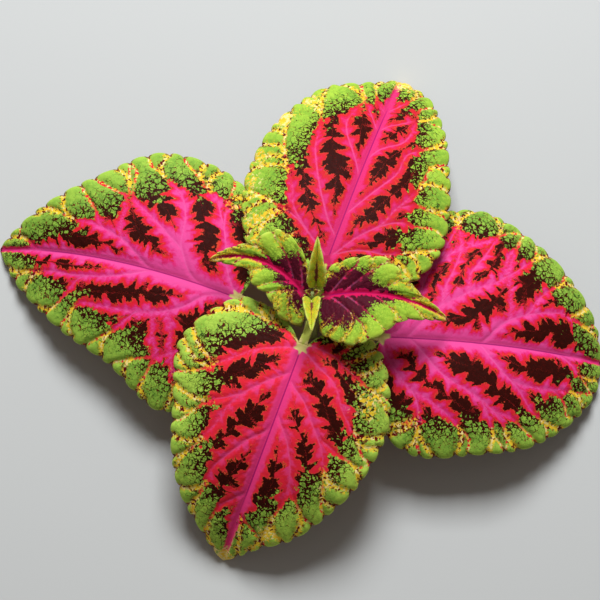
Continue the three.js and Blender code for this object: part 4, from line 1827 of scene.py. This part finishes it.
@dataclass
class Studio:
    """Surface, light and camera round the shoot; metres, watts and degrees."""

    target: tuple[float, float, float] = (0.00055, 0.00183, 0.022)
    elevation: float = 78.0
    distance: float = 0.8
    field_of_view: float = 17.06
    sensor: float = 36.0
    surface_size: float = 6.0
    surface_colour: Colour = (202, 203, 202)
    surface_roughness: float = 0.7
    key_place: tuple[float, float, float] = (0.02, 0.86, 1.06)
    key_size: float = 0.55
    key_power: float = 22.5
    key_colour: tuple[float, float, float] = (0.95, 0.98, 1.0)
    sky_colour: tuple[float, float, float, float] = (1.0, 0.9, 0.82, 1.0)
    sky_strength: float = 0.15

    def build(self) -> None:
        """Adds the surface, the lights and the camera, and keeps colours as they are mixed."""
        bpy.context.scene.view_settings.view_transform = "Standard"
        self._surface()
        self._lights()
        self._camera()

    def _surface(self) -> None:
        """Adds the plain pale surface that the shoot rests on."""
        deselect_all()
        bpy.ops.mesh.primitive_plane_add(size=self.surface_size, location=(0, 0, 0))
        surface = bpy.context.object
        surface.name = "table_top"
        material = bpy.data.materials.new("pale_table")
        material.use_nodes = True
        shader = material.node_tree.nodes["Principled BSDF"]
        shader.inputs["Base Color"].default_value = linear(*self.surface_colour)
        shader.inputs["Roughness"].default_value = self.surface_roughness
        surface.data.materials.append(material)

    def _lights(self) -> None:
        """Adds a broad soft key light from the back and a pale sky."""
        deselect_all()
        bpy.ops.object.light_add(type="AREA", location=self.key_place)
        key = bpy.context.object
        key.name = "key_light"
        key.data.size = self.key_size
        key.data.energy = self.key_power
        key.data.color = self.key_colour
        key.rotation_mode = "QUATERNION"
        key.rotation_quaternion = (-key.location).to_track_quat("-Z", "Y")
        world = bpy.data.worlds.new("pale_sky")
        bpy.context.scene.world = world
        world.use_nodes = True
        sky = world.node_tree.nodes["Background"]
        sky.inputs["Color"].default_value = self.sky_colour
        sky.inputs["Strength"].default_value = self.sky_strength

    def _camera(self) -> None:
        """Adds the camera, which looks steeply down at the shoot."""
        rise = math.radians(self.elevation)
        back = Vector((0, -math.cos(rise), math.sin(rise)))
        bpy.ops.object.camera_add(location=Vector(self.target) + back * self.distance)
        camera = bpy.context.object
        camera.rotation_mode = "QUATERNION"
        camera.rotation_quaternion = (-back).to_track_quat("-Z", "Y")
        camera.data.sensor_width = self.sensor
        camera.data.sensor_fit = "HORIZONTAL"
        camera.data.lens = self.sensor / 2 / math.tan(math.radians(self.field_of_view / 2))
        bpy.context.scene.camera = camera


# ---------------------------------------------------------------------------- the shoot


def side_veins(*lines: tuple[tuple[float, float], ...], width: float) -> tuple[Vein, ...]:
    """Veins of one width from their points on the flat leaf."""
    return tuple(Vein(line, width) for line in lines)


def even_veins(leaf_length: float, reach: float) -> tuple[Vein, ...]:
    """Four plain pairs of side veins for a small leaf, without coloured bands.

    Args:
        leaf_length: Length of the midrib.
        reach: How far out the widest veins go, with their ends at the rim.

    Returns:
        The veins.
    """
    shape = ((0.04, 0.22, 0.75), (0.14, 0.42, 1.0), (0.34, 0.62, 0.8), (0.6, 0.8, 0.5))
    lines = []
    for side in (1, -1):
        for begin, end, out in shape:
            far = (end * leaf_length, side * out * reach * 0.7)
            near = (mix(begin, end, 0.45) * leaf_length, side * out * reach * 0.3)
            lines.append(((begin * leaf_length, 0.0), near, far))
    return side_veins(*lines, width=0.0)


LARGE_LEAVES = (
    Leaf(
        name="leaf_left", kind=Kind.LARGE.value, base=(-30.5, 3.8, 27), length=111, heading=160,
        pitch=(11, -41.6), node_height=13.5, turn=11, pitch_curve=1.1, roll=(-2, -14), fold=6,
        camber=(32, 40), on_surface=True, midrib_width=4.2,
        rim=((56, 64, 62, 41, 39.5, 44.5, 55), (50, 55, 57, 51, 41, 42, 50)),
        margin=((10, 10, 14, 16, 16, 10), (10, 14, 15, 17, 17, 10)),
        veins=(
            *side_veins(
                ((2, -1), (7, -6), (11, -13), (13, -19), (15, -24), (19, -31), (22, -36),
                 (28, -41), (36, -47)),
                ((27.5, -10), (29.3, -13.4), (30, -19.3), (31, -25), (34.5, -32.3), (40, -37),
                 (47, -41)),
                ((16, 0), (20.5, -1.5), (25, -6), (28.6, -11.3), (35, -15.4), (43.7, -21),
                 (54, -26.6), (60, -28.4)),
                ((36, 0), (39.6, -1), (46.6, -5.7), (51.7, -8.9), (59.8, -11.7), (66, -13.5),
                 (72.5, -13.6), (77, -15)),
                ((3, 0), (9, 1.5), (15.3, 5), (19.7, 10), (25.8, 14), (32.6, 16.6),
                 (40.6, 18.2), (48.5, 18.6), (55.6, 19)),
                ((38, 0.5), (45.6, 3.9), (55.4, 7), (63, 7.9), (71, 8.6), (80, 8.1),
                 (87.5, 8.6)),
                width=2.2,
            ),
            *side_veins(
                ((16, -27), (17.5, -36), (17.4, -42)),
                ((52, -25.5), (53.5, -30), (54, -34)),
                ((60.5, -12), (63, -14), (65, -18), (68.3, -21.5)),
                ((52.5, -9.5), (54, -14), (54.2, -18.5)),
                ((39, 18), (43.2, 23), (47.2, 27.6), (54.8, 32.6)),
                ((26, 14.5), (24, 18), (22.4, 22)),
                ((32.6, 17), (31, 20), (30, 23)),
                ((64, 8), (67.3, 10), (70.3, 14.2), (72.5, 17)),
                ((87, 0), (91, -1), (93.5, -3.5), (97, -5)),
                ((0, 1), (3, 3), (8, 14), (12, 23), (17.5, 28.7), (24.3, 32.5), (31.5, 35.2)),
                width=1.1,
            ),
        ),
        places=(
            Place(Tint.PINK, 28, -5, 13, 0.7), Place(Tint.DARK, 2, 14, 8, 0.5),
            Place(Tint.YELLOW, 5, 26, 6, 0.5), Place(Tint.YELLOW, 10, 36, 4, 0.4),
        ),
    ),
    Leaf(
        name="leaf_right", kind=Kind.LARGE.value, base=(24.6, -11.4, 27), length=100, heading=-4,
        pitch=(12, -48), node_height=13.5, pitch_curve=1.15, camber=(36, 36),
        on_surface=True, midrib_width=4.4,
        rim=((54, 60.5, 61.5, 60.5, 53.5, 51.5, 55), (50, 55.5, 53.5, 44.5, 45.5, 49.5, 55)),
        margin=((11, 12, 12, 12, 12, 10), (14, 14, 14, 14, 13, 10)),
        veins=(
            *side_veins(
                ((1, 0), (8, 3), (13, 12), (16, 21), (18.5, 28), (22, 34), (25, 40), (28, 47),
                 (30, 53)),
                ((12, 1), (18, 8), (24, 14), (28.3, 16.3), (33.8, 19.6), (40, 23),
                 (46.8, 25.8), (49.7, 29), (49.8, 33), (52.3, 39), (56, 43.5)),
                ((41, 0), (44.5, 4), (47.3, 7.5), (51.6, 10.4), (57, 12.8), (64, 14.8),
                 (70.5, 16), (77.3, 16.5), (83.8, 14.4)),
                ((1, -1), (3.5, -7.5), (8.5, -15), (13.7, -20.5), (20.8, -24.3), (26.7, -28),
                 (31.3, -31.5), (36, -36)),
                ((12, 0), (15.3, -3.2), (19.8, -8), (23.5, -12), (28.6, -15.8), (34.4, -18.6),
                 (41.7, -22.6), (47.8, -26.8), (54.4, -28.2), (60.3, -31.8)),
                ((38, 0), (41, -1.3), (44, -5), (48.3, -9.3), (53, -13.6), (56.3, -16.2),
                 (59.5, -20), (63, -24), (67.8, -27)),
                width=2.3,
            ),
            *side_veins(
                ((20, 31), (24, 34), (27.5, 37), (33.5, 40), (41.5, 43.5), (48, 47)),
                ((54, -14), (60.7, -15.3), (68, -15.3), (76.8, -14.8), (83.3, -14.5)),
                ((75, 0), (77.5, -1), (84, -5.5), (88, -9), (91, -12)),
                width=1.7,
            ),
            *side_veins(
                ((47.5, 26.5), (54.8, 31.4), (60, 35.5)),
                ((34, 21), (35.2, 28.5), (37.3, 31.5)),
                ((24, 15), (25, 21), (26, 24)),
                ((58, 13), (60.8, 15.5), (63, 19.5), (67, 23.3), (70.7, 26)),
                ((51.6, 10.4), (52, 14), (52, 18)),
                ((14, -21), (16.6, -25.8), (17, -30.5), (17, -36)),
                ((48, -27), (51.6, -30.8), (54, -36.5)),
                ((42, -23), (45, -28), (46.4, -31)),
                ((72.5, -15), (77.5, -18.2), (80, -22)),
                width=1.1,
            ),
        ),
        places=(
            Place(Tint.PINK, 34, 6, 14, 0.3), Place(Tint.YELLOW, 1, 8, 4, 0.5),
            Place(Tint.PINK, 10, 8, 12, 0.4),
        ),
    ),
    Leaf(
        name="leaf_back", kind=Kind.LARGE.value, base=(3.2, 13.9, 43), length=108, heading=70,
        pitch=(6, -51.8), node_height=29.5, pitch_curve=0.93, camber=(42, 44),
        on_surface=True, midrib_width=3.4,
        rim=((52, 58, 50, 44, 43.5, 48.5, 50), (50, 55, 48, 39, 37, 44, 56)),
        margin=((20, 21, 22, 21, 18, 12), (13, 16, 18, 18, 16, 11)),
        veins=(
            *side_veins(
                ((1, 0), (5, 3), (10, 11), (14, 17), (17, 26), (19, 33)),
                ((8, 8), (13, 14.5), (18.7, 20.3), (25.5, 23), (31.7, 26.5), (38.4, 30.5),
                 (45, 33.5), (50.3, 35), (55.6, 36.2)),
                ((12, 0), (13.5, 1.5), (17, 5), (21.4, 8), (28.6, 12.5), (35.5, 16.1),
                 (41.1, 18.6), (46.9, 20.9), (52.4, 21.8), (59.3, 22.6), (66.5, 24.5)),
                ((38, 0), (42, 1), (50, 6), (56, 10), (62, 12.6), (67, 13), (74, 11.5)),
                ((4, 0), (6, -2), (15, -8), (23, -15), (31, -18), (37, -21), (45, -24),
                 (52, -25)),
                ((22, 0), (30, -4.8), (37.7, -9), (44.2, -12.6), (48.7, -14), (54, -14.1),
                 (58.2, -14.9), (62.3, -18.6)),
                ((49, 0), (55, -3), (59.2, -7.4), (62.5, -10.9), (67.7, -12.7),
                 (73.9, -13.1), (81.5, -12.8)),
                width=1.7,
            ),
            *side_veins(
                ((66, 0), (69.8, -3.2), (72.6, -6.6), (75, -9)),
                ((79, 0), (82.9, -3), (88, -5.7), (93.8, -8.2)),
                ((78, 0), (80.5, 3), (83, 5.2), (87, 6.5)),
                ((67, 1), (69, 2.4), (73.9, 5.7)),
                ((33.5, -20.5), (36.6, -24.4), (37.7, -29.4), (38.5, -34)),
                ((21.8, -14.5), (25, -18.4), (27.2, -22.7), (27.8, -27.1), (29.5, -31.6)),
                ((6, -3), (9, -8), (11, -14), (12, -20), (15, -26), (19, -33)),
                width=0.9,
            ),
        ),
        places=(
            Place(Tint.YELLOW, 104, -3, 7, 0.75), Place(Tint.YELLOW, 8, 34, 6, 0.45),
            Place(Tint.YELLOW, 24, 42, 6, 0.55), Place(Tint.YELLOW, 38, 42, 6, 0.5),
            Place(Tint.YELLOW, 57, 41, 6, 0.45), Place(Tint.YELLOW, 72, 29, 6, 0.6),
            Place(Tint.YELLOW, 60, 38, 5, 0.5),
        ),
    ),
    Leaf(
        name="leaf_front", kind=Kind.LARGE.value, base=(-5.6, -17, 43), length=101, heading=-110,
        pitch=(6, -55.4), node_height=29.5, turn=-4, pitch_curve=0.93, camber=(42, 40),
        on_surface=True, midrib_width=4.6,
        rim=((55, 58, 50, 41, 38, 41, 45), (52, 60, 56, 41, 39, 43, 48)),
        margin=((11, 13, 14, 16, 17, 15), (15, 16, 16, 16, 15, 12)),
        veins=(
            *side_veins(
                ((1, 0), (3, 2), (7, 9), (11, 17), (20, 24), (26, 31), (31, 35)),
                ((13, 0), (16, 1), (22, 9), (29, 15), (36, 21), (44, 25), (55, 28)),
                ((29, 0), (33.3, 3.6), (38.9, 8.2), (45.6, 11.7), (52, 13.9), (58.4, 14.4),
                 (65.2, 13.7), (71.5, 12.3), (76.3, 12.2)),
                ((10, 0), (13, -1), (17, -6), (22, -11), (28, -16), (34, -19), (42, -21),
                 (49, -24)),
                ((34, 0), (38, -2), (43, -7), (51, -12), (59, -16), (68, -17)),
                width=2.2,
            ),
            *side_veins(
                ((0, 1), (0, 4), (1, 13), (4, 20), (6, 26)),
                ((1, 0), (3, -2), (4, -6), (8.5, -16), (12.5, -21), (19, -29)),
                ((64, 0), (68, -4), (75, -9), (84, -10)),
                width=1.5,
            ),
            *side_veins(
                ((33, 20), (35.7, 27.4), (37.5, 33.7)),
                ((54, 14.3), (58, 17.5), (62, 21)),
                ((71, 0), (75, 1), (77, 5)),
                ((26, -14), (30.7, -21.1), (34, -26.5), (38.4, -29.9), (44.4, -33.7)),
                ((0, -1), (-2, -8), (-4, -16), (-5, -24)),
                width=1.0,
            ),
        ),
        places=(
            Place(Tint.YELLOW, 14, 32, 7, 0.5), Place(Tint.YELLOW, 48, 28, 4, 0.6),
            Place(Tint.YELLOW, 77, 13, 4, 0.8), Place(Tint.YELLOW, 98, 0, 5.5, 1.0),
            Place(Tint.DARK, -6, 22, 12, 0.7), Place(Tint.DARK, -6, -20, 12, 0.7),
            Place(Tint.GREEN, 0, -24, 9, 0.6),
        ),
    ),
)

SMALL_LEAVES = (
    Leaf(
        name="leaf_small_left", kind=Kind.SMALL.value, base=(-5, 0.9, 48), length=47, heading=128,
        pitch=(28, -50), node_height=44.6, turn=62, roll=(-8, -30), fold=14, camber=(60, 50),
        midrib_width=1.5,
        rim=((29, 24, 12, 10, 9, 8, 15), (18, 15, 14, 14, 10, 10, 14)),
        margin=((6, 8, 9, 12, 13, 16), (1, 6, 9, 12, 13, 16)),
        # the yellow place at the tip is partly the tip's own lime-yellow and partly painted light,
        # lightening a tip that bends away from the key light
        veins=even_veins(47, 15), places=(Place(Tint.YELLOW, 44, 0, 5, 0.6),),
    ),
    Leaf(
        name="leaf_small_right", kind=Kind.SMALL.value, base=(2.2, 0.1, 49), length=55, heading=8,
        pitch=(22, -48), node_height=44.8, turn=-34, fold=16, camber=(40, 50),
        midrib_width=1.5,
        rim=((23, 21, 16, 14, 11, 12, 15), (26, 29, 24, 17, 13, 14, 20)),
        margin=((5, 6, 9, 12, 14, 18), (3, 6, 10, 12, 14, 18)),
        # the yellow place at the tip is partly the tip's own lime-yellow and partly painted light,
        # lightening a tip that bends away from the key light
        veins=even_veins(55, 18), places=(Place(Tint.YELLOW, 51, 0, 5, 0.6),),
    ),
)

TIP_LEAF = {
    "kind": Kind.TINY.value, "pitch": (58, 22), "fold": 50, "camber": (-40, -40),
    "margin": ((6.2, 8, 9),) * 2, "midrib_width": 0.7,
}
BUD_LEAF = {
    "kind": Kind.BUD.value, "pitch": (84, 50), "fold": 25, "camber": (-200, -200), "length": 5.5,
    "rim": ((2.3, 2, 1.6, 1.4, 1.3, 1.6, 2.2),) * 2, "margin": ((2, 2),) * 2,
    "midrib_width": 0.3,
}
TIP_LEAVES = (
    Leaf(
        name="leaf_tip_back", base=(-0.6, 4.1, 52), length=21, heading=88, node_height=48.4,
        rim=((9, 8, 6.5, 5, 5, 6, 8),) * 2, **TIP_LEAF,
    ),
    Leaf(
        name="leaf_tip_front", base=(-2.4, -2.3, 51.6), length=19, heading=-90, node_height=48.2,
        rim=((8, 7, 6, 5, 5, 6, 7.5),) * 2, **TIP_LEAF,
    ),
    Leaf(name="bud_leaf_left", base=(-3.1, 0.7, 51.4), heading=180, **BUD_LEAF),
    Leaf(name="bud_leaf_right", base=(-0.9, 0.7, 51.4), heading=0, **BUD_LEAF),
)


# ---------------------------------------------------------------------------- putting together


def place_piece(piece: bpy.types.Object, node: str, finish: bpy.types.Material) -> None:
    """Dresses a finished piece, puts it in its solid's stead and reports it.

    Args:
        piece: The piece.
        node: Name of the solid that it replaces.
        finish: Its material.
    """
    piece.data.materials.clear()
    piece.data.materials.append(finish)
    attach(piece, "root")
    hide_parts(node)
    triangles = sum(len(face.vertices) - 2 for face in piece.data.polygons)
    log.info("%s: %d triangles, %s", piece.name, triangles, finish.name)


def main() -> None:
    """Builds the shoot and the studio round it."""
    logging.basicConfig(level=logging.INFO, format="%(name)s: %(message)s")
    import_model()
    stem = Stem()
    place_piece(stem.build(), stem.name, StemFinish().build())
    lower = LOWER_SKIN.build()
    # the front leaf's skin carries painted light: its colours are lightened for a leaf that slopes
    # away from the key light
    skins = (lower, lower, BACK_SKIN.build(), FRONT_SKIN_WITH_PAINTED_LIGHT.build())
    for leaf, skin in zip(LARGE_LEAVES, skins):
        place_piece(leaf.build(), leaf.name, skin)
    for leaves, finish in ((SMALL_LEAVES, SMALL_SKIN), (TIP_LEAVES, YOUNG_SKIN)):
        skin = finish.build()
        for leaf in leaves:
            place_piece(leaf.build(), leaf.name, skin)
    Studio().build()
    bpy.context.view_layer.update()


if __name__ == "__main__":
    main()
